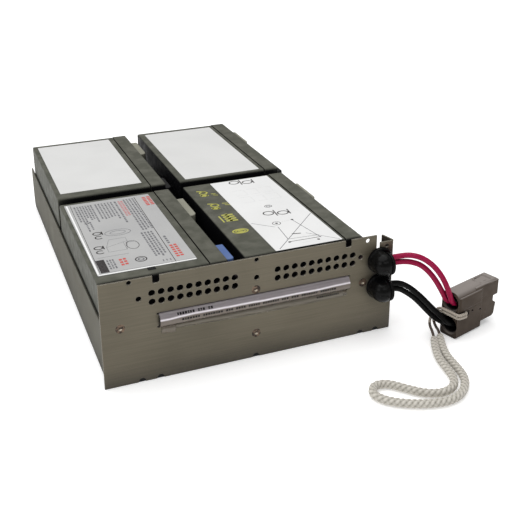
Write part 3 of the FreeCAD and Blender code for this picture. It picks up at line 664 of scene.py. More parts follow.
@dataclass(frozen=True)
class BraidYarn(Finish):
    """Cotton-like yarn of a braid: pale on the crowns, with painted shade in the grooves, fibre lines and a
    darker stretch.
    """

    crown: Colour
    fibre_and_groove_shade: Colour
    stretch_colour: Colour = (0.045, 0.028, 0.018)
    stretch_cover: float = 0.93
    fibres: float = 5200.0

    def paint(self, graph: Graph) -> None:
        """Add the crowns, the painted shade in the grooves, the fibres and the darker stretch.

        Args:
            graph: Graph of the material.
        """
        depth = graph.mixed(graph.attribute("relief"), graph.noise(90.0, 4.0), 0.8)
        # Painted shade: the grooves between the yarns take the darker colour, which also darkens the fibres.
        tone = graph.blend(graph.span(depth, 0.3, 0.85), self.fibre_and_groove_shade, self.crown)
        hair = graph.noise(self.fibres, 3.0)
        tone = graph.blend(graph.span(hair, 0.35, 0.75, 0.0, 0.3), tone, self.fibre_and_groove_shade)
        stain = graph.times(graph.attribute("stain"), self.stretch_cover)
        graph.feed("Base Color", graph.blend(stain, tone, self.stretch_colour))
        graph.feed("Roughness", graph.span(hair, 0.3, 0.7, 0.7, 0.92))
        graph.fix(Sheen_Weight=0.2, Sheen_Roughness=0.5, Specular_IOR_Level=0.25)
        graph.feed("Normal", graph.bump(hair, 0.00012, 0.6))


# ---------------------------------------------------------------- building helpers
def dress(node: str, material: Material) -> None:
    """Give a carried-over solid its finish.

    Args:
        node: Name of the solid's node.
        material: Finish that every one of its slots takes.
    """
    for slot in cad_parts[node].material_slots:
        slot.material = material


def hold(piece: bpy.types.Object, slot: str) -> None:
    """Put a piece in the scene, riding on the frame.

    Args:
        piece: The new piece.
        slot: Not used.
    """
    bpy.context.scene.collection.objects.link(piece)
    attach(piece, ROOT)


def mesh_piece(name: str, build: Mesh, material: Material, slot: str,
               smooth: bool = True) -> bpy.types.Object:
    """Turn a built mesh into a piece that rides on the frame.

    Args:
        name: Name of the piece.
        build: The mesh, which is freed.
        material: Its finish.
        slot: Slot of the record that the finish belongs to.
        smooth: Whether faces are shaded smooth.

    Returns:
        The new object.
    """
    mesh = bpy.data.meshes.new(name)
    bmesh.ops.recalc_face_normals(build, faces=build.faces)
    build.to_mesh(mesh)
    build.free()
    for polygon in mesh.polygons:
        polygon.use_smooth = smooth
    mesh.materials.append(material)
    piece = bpy.data.objects.new(name, mesh)
    hold(piece, slot)
    LOG.info("%s: %d faces", name, len(mesh.polygons))
    return piece


def add_ring(build: Mesh, spots: list[Point]) -> Ring:
    """Add a closed row of vertices."""
    return [build.verts.new(spot) for spot in spots]


def add_tube(build: Mesh, rings: list[Ring]) -> None:
    """Join rings of vertices into a closed body with flat ends.

    Args:
        build: Mesh that holds the vertices.
        rings: The rings in order, each with the same number of vertices.
    """
    count = len(rings[0])
    for before, after in zip(rings, rings[1:]):
        for index in range(count):
            following = (index + 1) % count
            build.faces.new((before[index], before[following], after[following], after[index]))
    build.faces.new(rings[0][::-1])
    build.faces.new(rings[-1])


def add_prism(build: Mesh, outline: list[Pair], low: float, high: float) -> None:
    """Add an upright prism over an outline in the XY plane.

    Args:
        build: Mesh that gets the prism.
        outline: Corners of the outline, in metres.
        low: Height of its foot.
        high: Height of its top.
    """
    add_tube(build, [add_ring(build, [(x, y, level) for x, y in outline]) for level in (low, high)])


def add_block(build: Mesh, low: Point, high: Point) -> None:
    """Add a closed block between its lowest and its highest corner."""
    outline = [(low[0], low[1]), (high[0], low[1]), (high[0], high[1]), (low[0], high[1])]
    add_prism(build, outline, low[2], high[2])


def add_skin(build: Mesh, outer: list[Ring], inner: list[Ring]) -> None:
    """Close the body between two grids of vertices of the same size.

    Args:
        build: Mesh that holds the vertices.
        outer: Rows of vertices on the shown side.
        inner: Rows of vertices on the hidden side.
    """
    def strip(near: Ring, far: Ring) -> None:
        """Add the faces between two rows."""
        for index in range(len(near) - 1):
            build.faces.new((near[index], near[index + 1], far[index + 1], far[index]))

    for grid in (outer, inner):
        for near, far in zip(grid, grid[1:]):
            strip(near, far)
    for end in (0, -1):
        strip(outer[end], inner[end])
        strip([row[end] for row in outer], [row[end] for row in inner])


class Centreline:
    """Smooth line through a cord's route, as its NURBS spline gives it."""

    def __init__(self, name: str, route: list[Point]) -> None:
        """Make the spline.

        Args:
            name: Name of the curve.
            route: Control points in metres.
        """
        self.name = name
        self.curve = bpy.data.curves.new(name, "CURVE")
        self.curve.dimensions = "3D"
        spline = self.curve.splines.new("NURBS")
        spline.points.add(len(route) - 1)
        for point, spot in zip(spline.points, route):
            point.co = (*spot, 1.0)
        spline.order_u = 3
        spline.use_endpoint_u = True
        spline.resolution_u = 24

    def tube(self, diameter: float, material: Material, slot: str) -> bpy.types.Object:
        """Make a round cord whose middle is the spline.

        Args:
            diameter: Outer diameter in metres.
            material: Its finish.
            slot: Slot of the record that the finish belongs to.

        Returns:
            The curve object.
        """
        self.curve.bevel_depth = diameter / 2
        self.curve.bevel_resolution = 8
        self.curve.use_fill_caps = True
        self.curve.materials.append(material)
        piece = bpy.data.objects.new(self.name, self.curve)
        hold(piece, slot)
        LOG.info("%s: round cord, %.1f mm thick", self.name, diameter / MM)
        return piece

    def points(self) -> list[Vector]:
        """Read the points along the spline.

        Returns:
            The points in order.
        """
        holder = bpy.data.objects.new(self.name + "_line", self.curve)
        bpy.context.scene.collection.objects.link(holder)
        bpy.context.view_layer.update()
        mesh = bpy.data.meshes.new_from_object(holder)
        line = [vertex.co.copy() for vertex in mesh.vertices]
        bpy.data.objects.remove(holder)
        bpy.data.meshes.remove(mesh)
        return line


def evenly(line: list[Vector], step: float) -> tuple[list[Vector], float]:
    """Walk along a line in equal steps.

    Args:
        line: Points along the line.
        step: Wanted distance between two results, in metres.

    Returns:
        The evenly spaced points and the distance between them.
    """
    lengths = [0.0]
    for before, after in zip(line, line[1:]):
        lengths.append(lengths[-1] + (after - before).length)
    count = max(2, round(lengths[-1] / step))
    spots, index = [], 0
    for number in range(count + 1):
        wanted = lengths[-1] * number / count
        while index < len(line) - 2 and lengths[index + 1] < wanted:
            index += 1
        part = (wanted - lengths[index]) / max(1e-9, lengths[index + 1] - lengths[index])
        spots.append(line[index].lerp(line[index + 1], min(1.0, part)))
    return spots, lengths[-1] / count


@dataclass
class PlaitedTube:
    """Round plait: yarns that wind both ways and pass over and under each other.

    The yarns of the first winding lie prouder than those of the second, as in a plait under tension.
    A plait may have one darker stretch, given by its nearest and farthest distance from the far end.
    """

    radius: float
    carriers: int
    pitch: float
    relief: float
    step: float
    sides: int
    darker_span: Pair = (0.0, 0.0)
    proud: Pair = (0.80, 0.20)
    sunk: Pair = (0.52, -0.34)
    roundness: float = 0.7
    end_share: float = 0.82

    def height(self, along: float, angle: float) -> float:
        """Height of the yarns' surface.

        Args:
            along: Distance along the cord, in metres.
            angle: Angle round it, in radians.

        Returns:
            0 in the grooves to 1 on the crowns.
        """
        turn = along / self.pitch * 2 * math.pi
        yarns = [(angle + way * turn) * self.carriers / 2 / (2 * math.pi) for way in (1, -1)]
        over = math.cos(sum(math.floor(yarn) for yarn in yarns) * math.pi)
        across = [abs((yarn % 1.0) - 0.5) * 2 for yarn in yarns]
        tops = []
        for (level, wave), own, other in zip((self.proud, self.sunk), across, across[::-1]):
            crossing = level + wave * over * math.cos(other * math.pi / 2)
            tops.append((1 - own ** 2) ** self.roundness * crossing)
        return max(tops)

    def build(self, line: list[Vector]) -> Mesh:
        """Wrap the plait round a line.

        Args:
            line: Points of the middle of the cord.

        Returns:
            The closed mesh, with each vertex's height in its relief layer and its darker stretch in another
            layer.
        """
        spots, step = evenly(line, self.step)
        last = len(spots) - 1
        build = bmesh.new()
        relief = build.verts.layers.float.new("relief")
        stain = build.verts.layers.float.new("stain")
        side = (spots[1] - spots[0]).cross(Vector((0, 0, 1))).normalized()
        rings = []
        for index, spot in enumerate(spots):
            ahead = (spots[min(index + 1, last)] - spots[max(index - 1, 0)]).normalized()
            side = (side - ahead * side.dot(ahead)).normalized()
            other = ahead.cross(side)
            to_end = min(index, last - index) * step
            in_stretch = 1.0 if self.darker_span[0] < (last - index) * step < self.darker_span[1] else 0.0
            close = min(1.0, self.end_share + (1 - self.end_share) * to_end / self.radius)
            ring = []
            for number in range(self.sides):
                angle = 2 * math.pi * number / self.sides
                height = self.height(index * step, angle)
                reach = (self.radius - self.relief * (1 - height)) * close
                vertex = build.verts.new(spot + (side * math.cos(angle) + other * math.sin(angle)) * reach)
                vertex[relief] = height
                vertex[stain] = in_stretch
                ring.append(vertex)
            rings.append(ring)
        add_tube(build, rings)
        return build


# ---------------------------------------------------------------- studio
@dataclass
class Studio:
    """Pale floor, soft lights and the camera."""

    spot: Point = (-0.19133, -0.65073, 0.3298)
    yaw: float = 20.39539
    pitch: float = -19.75502
    roll: float = -0.85374
    lens: float = 57.82
    sensor: float = 36.0
    shift: Pair = (0.04795, -0.1822)
    nearest: float = 0.01
    floor_span: float = 12.0
    floor_drop: float = 0.0002
    floor_glow: float = 0.3
    aim: Point = (0.03, -0.08, 0.03)
    surroundings: float = 0.3
    ceiling: float = 2.3
    ceiling_softness: float = 75.0
    ceiling_fall: Point = (0.12, -0.22, -1.0)
    panels: dict[str, tuple[Point, Pair, float]] = field(default_factory=lambda: {
        "left_side": ((-1.2, -0.5, 0.75), (0.8, 0.7), 3.0),
        "front_high": ((0.1, -1.3, 1.1), (1.3, 0.3), 2.5),
    })

    def floor(self) -> None:
        """Lay the floor just under the tray."""
        build = bmesh.new()
        half, low = self.floor_span / 2, -self.floor_drop
        corners = ((-half, -half, low), (half, -half, low), (half, half, low), (-half, half, low))
        build.faces.new(add_ring(build, corners))
        mesh = bpy.data.meshes.new("floor")
        build.to_mesh(mesh)
        build.free()
        graph = Graph("floor_paper")
        tone = graph.blend(graph.mottle(3.0, 2.0, 0.0, 1.0), (0.93, 0.93, 0.93), (0.95, 0.95, 0.95))
        graph.feed("Base Color", tone)
        graph.feed("Roughness", graph.mottle(20.0, 2.0, 0.85, 0.95))
        graph.fix(Specular_IOR_Level=0.1, Emission_Strength=self.floor_glow)
        mesh.materials.append(graph.material)
        floor = bpy.data.objects.new("floor", mesh)
        bpy.context.scene.collection.objects.link(floor)

    def hang(self, name: str, lamp: bpy.types.Light, place: Point, ahead: Vector) -> None:
        """Hang a light.

        Args:
            name: Name of the light.
            lamp: The light itself.
            place: Where it hangs.
            ahead: The way it shines.
        """
        holder = bpy.data.objects.new(name, lamp)
        holder.location = place
        holder.rotation_euler = ahead.to_track_quat("-Z", "Y").to_euler()
        bpy.context.scene.collection.objects.link(holder)

    def lights(self) -> None:
        """Hang the wide ceiling light and the soft panels, and set the pale surroundings."""
        world = bpy.data.worlds.new("surroundings")
        world.use_nodes = True
        backdrop = world.node_tree.nodes["Background"]
        backdrop.inputs["Color"].default_value = (1.0, 1.0, 1.0, 1.0)
        backdrop.inputs["Strength"].default_value = self.surroundings
        bpy.context.scene.world = world
        bpy.context.scene.view_settings.view_transform = "Standard"
        ceiling = bpy.data.lights.new("ceiling", "SUN")
        ceiling.energy = self.ceiling
        ceiling.angle = math.radians(self.ceiling_softness)
        self.hang("ceiling", ceiling, (0.0, 0.0, 0.0), Vector(self.ceiling_fall))
        for name, (place, size, watts) in self.panels.items():
            lamp = bpy.data.lights.new(name, "AREA")
            lamp.shape = "RECTANGLE"
            lamp.size, lamp.size_y = size
            lamp.energy = watts
            self.hang(name, lamp, place, Vector(self.aim) - Vector(place))

    def camera(self) -> None:
        """Set the camera up."""
        yaw, pitch, roll = (math.radians(angle) for angle in (self.yaw, self.pitch, self.roll))
        ahead = Vector((math.sin(yaw) * math.cos(pitch), math.cos(yaw) * math.cos(pitch), math.sin(pitch)))
        level = Vector((math.cos(yaw), -math.sin(yaw), 0.0))
        above = level.cross(ahead)
        right = level * math.cos(roll) + above * math.sin(roll)
        up = above * math.cos(roll) - level * math.sin(roll)
        lens = bpy.data.cameras.new("camera")
        lens.sensor_width = self.sensor
        lens.lens = self.lens
        lens.shift_x, lens.shift_y = self.shift
        lens.clip_start = self.nearest
        holder = bpy.data.objects.new("camera", lens)
        turn = Matrix((right, up, -ahead)).transposed().to_4x4()
        holder.matrix_world = Matrix.Translation(self.spot) @ turn
        bpy.context.scene.collection.objects.link(holder)
        bpy.context.scene.camera = holder

    def build(self) -> None:
        """Set up the camera, the floor and the lights."""
        self.camera()
        self.floor()
        self.lights()
        LOG.info("studio ready")


# ---------------------------------------------------------------- cords
@dataclass
class ConnectorPlace:
    """Where the power connector lies: corner, turn on the floor and thickness, in mm and degrees."""

    corner: Pair = (144.2, -207.5)
    turn: float = 16.9
    thickness: float = 15.0

    def at(self, along: float, across: float, up: float) -> Point:
        """Point of the connector's own frame, in the cartridge's frame.

        Args:
            along: Distance towards the mating end, in millimetres.
            across: Distance through its thickness.
            up: Height above the floor.

        Returns:
            The point in metres.
        """
        turn = math.radians(self.turn)
        x = self.corner[0] + along * math.cos(turn) - across * math.sin(turn)
        y = self.corner[1] + along * math.sin(turn) + across * math.cos(turn)
        return (x * MM, y * MM, up * MM)


def in_metres(route: list[Point], corner: Pair = (0.0, 0.0)) -> list[Point]:
    """Turn a route in millimetres from a corner into one in the cartridge's frame, in metres."""
    return [((x + corner[0]) * MM, (y + corner[1]) * MM, z * MM) for x, y, z in route]


@dataclass
class Jackets:
    """The two insulations, and how a cable is laid in one of them."""

    red: Material
    black: Material
    diameter: float = 0.0041
    shortest: float = 0.03

    def lay(self, node: str, route: list[Point], length: float) -> None:
        """Lay one cable over its solid, which is hidden. A stub under the shortest length isn't
        declared as a cord.

        Args:
            node: Solid that it stands for, with the insulation's colour in its name.
            route: Control points in metres.
            length: Real length in metres.
        """
        material, slot = (self.red, "red_insulation") if "red" in node else (self.black, "black_insulation")
        piece = Centreline(node + "_jacket", route).tube(self.diameter, material, slot)
        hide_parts(node)
        if length >= self.shortest:
            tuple(route[0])


@dataclass
class CableRoute:
    """One free power cable between a gland and the connector, in millimetres."""

    name: str
    leave: float
    points: list[Point]
    enter: Pair
    length: float


@dataclass
class PowerCables:
    """The two red and two black cables. Each runs straight through its gland and into the connector."""

    place: ConnectorPlace
    jackets: Jackets
    gland: tuple[Pair, Pair] = ((101.6, -181.4), (108.1, -181.4))
    inside: Pair = (0.2, 11.6)
    routes: list[CableRoute] = field(default_factory=lambda: [
        CableRoute("red_cable_1", 62.9, [
            (115.6, -185.0, 64.2), (123.4, -189.6, 62.2), (130.2, -194.9, 56.4), (135.4, -198.8, 47.8),
            (138.7, -201.9, 38.2)], (5.25, 25.6), 0.077),
        CableRoute("red_cable_2", 58.5, [
            (116.2, -184.4, 58.4), (124.0, -188.0, 55.6), (130.8, -192.2, 47.8), (136.6, -195.6, 37.0)],
            (9.75, 25.6), 0.069),
        CableRoute("black_cable_1", 41.9, [
            (115.2, -184.8, 38.9), (122.8, -189.0, 32.0), (129.6, -193.4, 23.8), (136.2, -198.4, 16.4)],
            (5.25, 9.1), 0.070),
        CableRoute("black_cable_2", 37.5, [
            (114.8, -184.0, 33.6), (121.8, -186.6, 27.6), (128.4, -189.8, 19.6), (134.6, -193.3, 12.4)],
            (9.75, 9.1), 0.065),
    ])

    def build(self) -> None:
        for route in self.routes:
            spots = in_metres([(x, y, route.leave) for x, y in self.gland] + route.points)
            spots += [self.place.at(along, *route.enter) for along in self.inside]
            self.jackets.lay(route.name, spots, route.length)


@dataclass
class PullCords:
    """Braided rope loop and the doubled tie that holds it to the connector; routes in millimetres."""

    place: ConnectorPlace
    rope_yarn: Material
    tie_yarn: Material
    rope: PlaitedTube = field(default_factory=lambda: PlaitedTube(0.0030, 8, 0.0145, 0.0008, 0.00036, 64))
    tie: PlaitedTube = field(default_factory=lambda: PlaitedTube(
        0.0011, 8, 0.0075, 0.00028, 0.0003, 28, (0.0, 0.0165)))
    route: list[Point] = field(default_factory=lambda: [
        (126.0, -206.0, 4.6), (120.6, -216.2, 3.4), (116.2, -227.2, 3.1), (114.2, -238.6, 3.1),
        (112.6, -250.0, 3.1), (107.0, -259.6, 3.1), (96.4, -263.4, 3.1), (85.0, -259.8, 3.1),
        (75.6, -250.2, 3.1), (67.0, -240.0, 3.1), (57.0, -239.2, 3.1), (51.8, -248.0, 3.1),
        (57.2, -257.4, 3.1), (68.6, -265.2, 3.1), (82.4, -270.6, 3.1), (97.0, -272.2, 3.1),
        (109.6, -266.6, 3.1), (118.8, -255.0, 3.1), (121.4, -241.6, 3.1), (122.4, -228.6, 3.1),
        (126.4, -216.0, 3.4), (132.0, -204.6, 4.6)])
    hole: float = 9.5
    side: float = -1.45
    rear: float = -1.6
    lead: float = 6.0

    def tie_route(self, up: float, reach: list[Point], last: Point) -> list[Point]:
        """Route of one tie strand, out of the connector's hole, round its rear edge and down to the rope.

        Args:
            up: Its height in the connector's hole, in millimetres.
            reach: Points between the connector and the rope, in millimetres.
            last: Its end in the rope, in millimetres.

        Returns:
            The route in metres.
        """
        hole, side, rear = self.hole, self.side, self.rear
        round_edge = [(hole, 3.2, up), (hole - 0.1, side, up), (hole - 5.2, side, up + 0.6),
                      (rear - 0.2, side - 0.3, up + 1.6), (rear, 3.6, up + 1.9), (rear - 0.3, 8.8, up + 2.0),
                      (rear - 0.1, 13.8, up + 1.6), (0.0, 18.4, up - 1.2)]
        return [self.place.at(*spot) for spot in round_edge] + in_metres(reach + [last])

    def lead_in(self, end: int, after: int) -> Point:
        """Point just before an end of the rope, in line with its first run."""
        first, second = Vector(self.route[end]), Vector(self.route[after])
        return tuple(first - (second - first).normalized() * self.lead)

    def braid(self, name: str, node: str, route: list[Point], plait: PlaitedTube) -> None:
        """Args:
            name: Name of the piece.
            node: Solid that it stands for.
            route: Control points in metres.
            plait: Its braid.
        """
        yarn, slot = (self.rope_yarn, "rope_braid") if plait is self.rope else (self.tie_yarn, "tie_white")
        line = Centreline(name, route).points()
        piece = mesh_piece(name, plait.build(line), yarn, slot)
        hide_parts(node)
        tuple(route[0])
        [tuple(spot) for spot in line]

    def build(self) -> None:
        """Make the two tie strands and the rope."""
        upper = [(136.0, -187.0, 12.9), (131.4, -190.6, 7.4), self.lead_in(0, 1)]
        lower = [(136.9, -187.2, 9.8), (136.2, -191.8, 5.2), self.lead_in(-1, -2)]
        upper = self.tie_route(19.5, upper, self.route[0])
        lower = self.tie_route(17.0, lower, self.route[-1])
        self.braid("tie_upper", "rope_tie_upper", upper, self.tie)
        self.braid("tie_lower", "rope_tie_lower", lower, self.tie)
        self.braid("rope_loop", "pull_rope", in_metres(self.route), self.rope)


# ---------------------------------------------------------------- sub-assemblies
@dataclass
class TrayBody:
    """Folded tray, front panel, its rivets, the foam strips and the painted-shade blocks behind the panel's
    foot notches.
    """

    foot_notches: tuple[float, ...] = (0.0259, 0.0389, 0.1091, 0.1925, 0.2051)
    notch_shade_reach: float = 0.0034
    notch_shade_depth: Pair = (0.0004, 0.0011)
    notch_shade_height: float = 0.0031

    def shade_notches(self, shade_black: Material) -> None:
        """Add short near-black blocks behind the notches in the panel's foot, painted shade where the floor
        would show through.

        Args:
            shade_black: Their finish.
        """
        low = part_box("front_panel")[0]
        near, far = (low.y + depth for depth in self.notch_shade_depth)
        build = bmesh.new()
        for across in self.foot_notches:
            left, right = low.x + across - self.notch_shade_reach, low.x + across + self.notch_shade_reach
            add_block(build, (left, near, low.z), (right, far, low.z + self.notch_shade_height))
        mesh_piece("notch_shade_blocks", build, shade_black, "foam_tape", smooth=False)

    def build(self) -> None:
        """Dress the metalwork and the foam, and add the painted-shade blocks."""
        tray = SheetSteel("tray_steel", (0.112, 0.106, 0.080), (0.084, 0.079, 0.060), (0.36, 0.34, 0.29),
                          Grain.ALONG_Y, 0.1, (0.55, 0.7), 0.08)
        panel = SheetSteel("panel_steel", (0.145, 0.126, 0.089), (0.104, 0.091, 0.063), (0.66, 0.62, 0.54),
                           Grain.ALONG_X)
        dress("tray", tray.make())
        dress("front_panel", panel.make())
        rivets = PierceRivet("rivet_metal", (0.62, 0.55, 0.44), (0.025, 0.018, 0.014), (0.155, 0.105, 0.072))
        dress("panel_rivets", rivets.make())
        foam = FoamTape("pad_foam", (0.05, 0.05, 0.05), (0.015, 0.015, 0.015)).make()
        for row in Row:
            dress(f"mounting_pads_{row.value}", foam)
        self.shade_notches(FoamTape("notch_shade_black", (0.004, 0.004, 0.004), (0.002, 0.002, 0.002)).make())
        LOG.info("tray and front panel dressed")


@dataclass(frozen=True)
class Flap:
    """Thin strip of film that lies on the panel.

    Its sides are measured from the panel's left side. Each pair of heights is that at its ends and
    that at its middle.
    """

    name: str
    left: float
    right: float
    tops: Pair
    feet: Pair
    film: ClearFilm
    steps: int = 32
    bowed_share: float = 1.6
    lifts: Point = (0.00010, 0.00035, 0.00015)
    sway: float = 0.00012
    wave: float = 0.9
    skin: float = 0.0001

    def build(self) -> None:
        """Add the strip, bowed along its length."""
        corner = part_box("front_panel")[0]
        build = bmesh.new()
        rings = []
        for number in range(self.steps + 1):
            part = number / self.steps
            bow = math.sin(math.pi * min(1.0, part * self.bowed_share) / 2)
            top, foot = (ends + (middle - ends) * bow for ends, middle in (self.tops, self.feet))
            sway = self.sway * math.sin(number * self.wave)
            head, belly, hem = self.lifts
            outline = [(head, top), (belly + sway, (top + foot) / 2), (hem + sway / 2, foot)]
            outline += [(reach + self.skin, height) for reach, height in reversed(outline)]
            x = corner.x + self.left + (self.right - self.left) * part
            rings.append(add_ring(build, [(x, corner.y - reach, height) for reach, height in outline]))
        add_tube(build, rings)
        mesh_piece(self.name, build, self.film.make(), "clear_film")


@dataclass
class PullHandle:
    """Clear strap across the panel, with its rows of small print and the strips of film below its lower slot.

    Lengths along the panel run from its left side, in metres.
    """

    ink: Material
    middle_height: float = 0.0447
    bow_radius: float = 0.00581
    bow_depth: float = 0.00238
    skin: float = 0.00045
    lifts: Pair = (0.00003, 0.00012)
    lines: tuple[tuple[float, Pair, float, int], ...] = (
        (0.0482, (0.0515, 0.0770), 0.0014, 5), (0.0441, (0.0545, 0.1700), 0.0016, 6))
    stroke: Pair = (0.0010, 0.0014)
    gap: float = 0.0006
    word_gap: float = 0.0019
    word: tuple[int, int] = (3, 8)
    split_share: float = 0.3
    small_run: Pair = (0.1560, 0.1730)
    small_heights: Pair = (0.0369, 0.0383)
    small_stroke: Pair = (0.0006, 0.0013)
    small_gap: float = 0.0007
    small_lift: float = 0.0006
    small_skin: float = 0.00004
    small_seed: int = 23
    flaps: tuple[Flap, ...] = (
        # Painted highlights: the tab and the flap take a pale line along one edge, and the thin fold strip is
        # a pale line along the flap's foot.
        Flap("strap_tab", 0.0410, 0.0508, (0.0394, 0.0392), (0.0340, 0.0336), ClearFilm(
            "tab_film", (0.165, 0.138, 0.105), (0.34, 0.30, 0.25), 0.0335, 0.0004, (0.88, 0.9, 0.88))),
        Flap("strap_flap", 0.0508, 0.1800, (0.0392, 0.0392), (0.0368, 0.0344), ClearFilm(
            "flap_film", (0.150, 0.130, 0.098), (0.20, 0.18, 0.15), 0.0393, 0.0003, (0.92, 0.92, 0.92))),
        Flap("strap_fold_highlight", 0.0508, 0.1600, (0.0369, 0.0346), (0.0366, 0.0343), ClearFilm(
            "fold_highlight_film", (0.42, 0.39, 0.33), (0.5, 0.47, 0.4), 0.0393, 0.0003, (0.42, 0.5, 0.42))))

    def surface(self, height: float) -> float:
        """How far the strap's outer face stands in front of the panel at a height, in metres."""
        offset = height - self.middle_height
        return math.sqrt(max(0.0, self.bow_radius ** 2 - offset ** 2)) - self.bow_depth + self.skin

    def letters(self, build: Mesh, height: float, run: Pair, size: float, seed: int) -> None:
        """Add one row of small upright dashes that stand for a line of print.

        Args:
            build: Mesh that gets them.
            height: Height of the row's middle.
            run: Its left and right ends.
            size: Height of the dashes.
            seed: Seed of their widths.
        """
        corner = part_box("front_panel")[0]
        chance = random.Random(seed)
        here, done, letters = run[0], 0, chance.randint(*self.word)
        while here < run[1]:
            wide = chance.uniform(*self.stroke)
            split = chance.random() < self.split_share
            for low, high in ((-0.5, -0.1), (0.06, 0.5)) if split else ((-0.5, 0.5),):
                for step in range(3):
                    near, far = (height + size * (low + (high - low) * part / 3) for part in (step, step + 1))
                    self.dash(build, corner, here, wide, near, far)
            done += 1
            here += wide + self.gap
            if done >= letters:
                here, done, letters = here + self.word_gap, 0, chance.randint(*self.word)

    def dash(self, build: Mesh, corner: Vector, start: float, wide: float, low: float, high: float) -> None:
        """Lay one thin dash on the strap's curved face.

        Args:
            build: Mesh that gets it.
            corner: Lowest corner of the panel.
            start: Its left side.
            wide: Its width.
            low: Height of its foot.
            high: Height of its top.
        """
        left, right = corner.x + start, corner.x + start + wide
        rings = []
        for lift in self.lifts:
            near, far = (corner.y - self.surface(height) - lift for height in (low, high))
            spots = [(left, near, low), (right, near, low), (right, far, high), (left, far, high)]
            rings.append(add_ring(build, spots))
        add_tube(build, rings)

    def small_line(self, build: Mesh) -> None:
        """Add the short line of tiny print at the flap's right end.

        Args:
            build: Mesh that gets it.
        """
        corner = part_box("front_panel")[0]
        chance = random.Random(self.small_seed)
        foot, top = self.small_heights
        here = self.small_run[0]
        while here < self.small_run[1]:
            wide = chance.uniform(*self.small_stroke)
            left, front = corner.x + here, corner.y - self.small_lift
            add_block(build, (left, front, foot), (left + wide, front + self.small_skin, top))
            here += wide + self.small_gap

    def build(self) -> None:
        """Dress the strap and add its print and the strips of film below it."""
        # On the strap, the lavender tint above the bend is a painted reflection and the pale band along it a
        # painted highlight.
        film = ClearFilm("strap_film", (0.28, 0.25, 0.262), (0.80, 0.75, 0.79), 0.0463, 0.0010,
                         (0.72, 1.0, 0.86), (0.165, 0.135, 0.112))
        dress("pull_handle", film.make())
        build = bmesh.new()
        for line in self.lines:
            self.letters(build, *line)
        mesh_piece("strap_print", build, self.ink, "clear_film", smooth=False)
        for flap in self.flaps:
            flap.build()
        build = bmesh.new()
        self.small_line(build)
        mesh_piece("strap_small_print", build, self.ink, "clear_film", smooth=False)
        LOG.info("pull handle dressed")


# ---------------------------------------------------------------- printing
@dataclass
class Press:
    """Flat printing on one surface of the part, laid just above it as thin solid ink."""

    name: str
    low: Vector
    high: Vector
    inks: dict[Ink, Material]
    film: float = 0.00003
    lift: float = 0.000004
    builds: dict[Ink, Mesh] = field(default_factory=dict)

    def share(self, across: float, along: float) -> Pair:
        """Place on the surface from fractions of its width and length."""
        wide, deep = self.high.x - self.low.x, self.high.y - self.low.y
        return (self.low.x + wide * across, self.low.y + deep * along)

    def offset(self, across: float, along: float) -> Pair:
        """Place on the surface from distances to its front left corner, in metres."""
        return (self.low.x + across, self.low.y + along)

    def patch(self, ink: Ink, outline: list[Pair]) -> None:
        """Print one filled outline.

        Args:
            ink: Its ink. Each ink lies a little higher than those before it.
            outline: Corners in metres, in the frame's XY plane.
        """
        foot = self.high.z + self.lift * (1 + list(Ink).index(ink))
        add_prism(self.builds.setdefault(ink, bmesh.new()), outline, foot, foot + self.film)

    def bar(self, ink: Ink, start: Pair, end: Pair, width: float) -> None:
        """Print one straight bar.

        Args:
            ink: Its ink.
            start: First end, in metres.
            end: Second end, in metres.
            width: Its width in metres.
        """
        first, second = Vector((*start, 0.0)), Vector((*end, 0.0))
        side = Vector((0, 0, 1)).cross(second - first).normalized() * (width / 2)
        corners = (first - side, second - side, second + side, first + side)
        self.patch(ink, [(corner.x, corner.y) for corner in corners])

    def finish(self) -> None:
        """Turn what is printed into pieces."""
        for ink, build in self.builds.items():
            mesh_piece(f"{self.name}_{ink.name.lower()}", build, self.inks[ink], "label_white", smooth=False)


Where = Callable[[float, float], Pair]


@dataclass(frozen=True)
class Stroke:
    """Straight bar; its width is in metres."""

    ink: Ink
    start: Pair
    end: Pair
    width: float

    def lay(self, press: Press, at: Where) -> None:
        """Print it."""
        press.bar(self.ink, at(*self.start), at(*self.end), self.width)


@dataclass(frozen=True)
class Outline:
    """Closed line through its corners; its width is in metres."""

    ink: Ink
    corners: tuple[Pair, ...]
    width: float

    def lay(self, press: Press, at: Where) -> None:
        """Print it."""
        for start, end in zip(self.corners, self.corners[1:] + self.corners[:1]):
            press.bar(self.ink, at(*start), at(*end), self.width)


@dataclass(frozen=True)
class Oval:
    """Oval ring or part of one; half width, half length and line width in metres, angles in degrees."""

    ink: Ink
    middle: Pair
    reach: Pair
    width: float
    begin: float = 0.0
    sweep: float = 360.0
    turn: float = 15.0

    def lay(self, press: Press, at: Where) -> None:
        """Print it as short bars.

        Args:
            press: Press that prints it.
            at: What turns its middle into metres.
        """
        (x, y), (wide, deep) = at(*self.middle), self.reach
        steps = max(4, round(self.sweep / self.turn))
        angles = [math.radians(self.begin + self.sweep * number / steps) for number in range(steps + 1)]
        spots = [(x + wide * math.cos(angle), y + deep * math.sin(angle)) for angle in angles]
        for before, after in zip(spots, spots[1:]):
            press.bar(self.ink, before, after, self.width)


@dataclass(frozen=True)
class Dashes:
    """Faint dashed line; pitch and width are in metres."""

    start: Pair
    end: Pair
    ink: Ink = Ink.PALE
    pitch: float = 0.0016
    share: float = 0.55
    width: float = 0.0006

    def lay(self, press: Press, at: Where) -> None:
        """Print it as short bars.

        Args:
            press: Press that prints it.
            at: What turns its ends into metres.
        """
        first, second = Vector((*at(*self.start), 0.0)), Vector((*at(*self.end), 0.0))
        count = max(2, round((second - first).length / self.pitch))
        for number in range(count):
            near, far = (first.lerp(second, (number + part) / count) for part in (0.0, self.share))
            press.bar(self.ink, (near.x, near.y), (far.x, far.y), self.width)


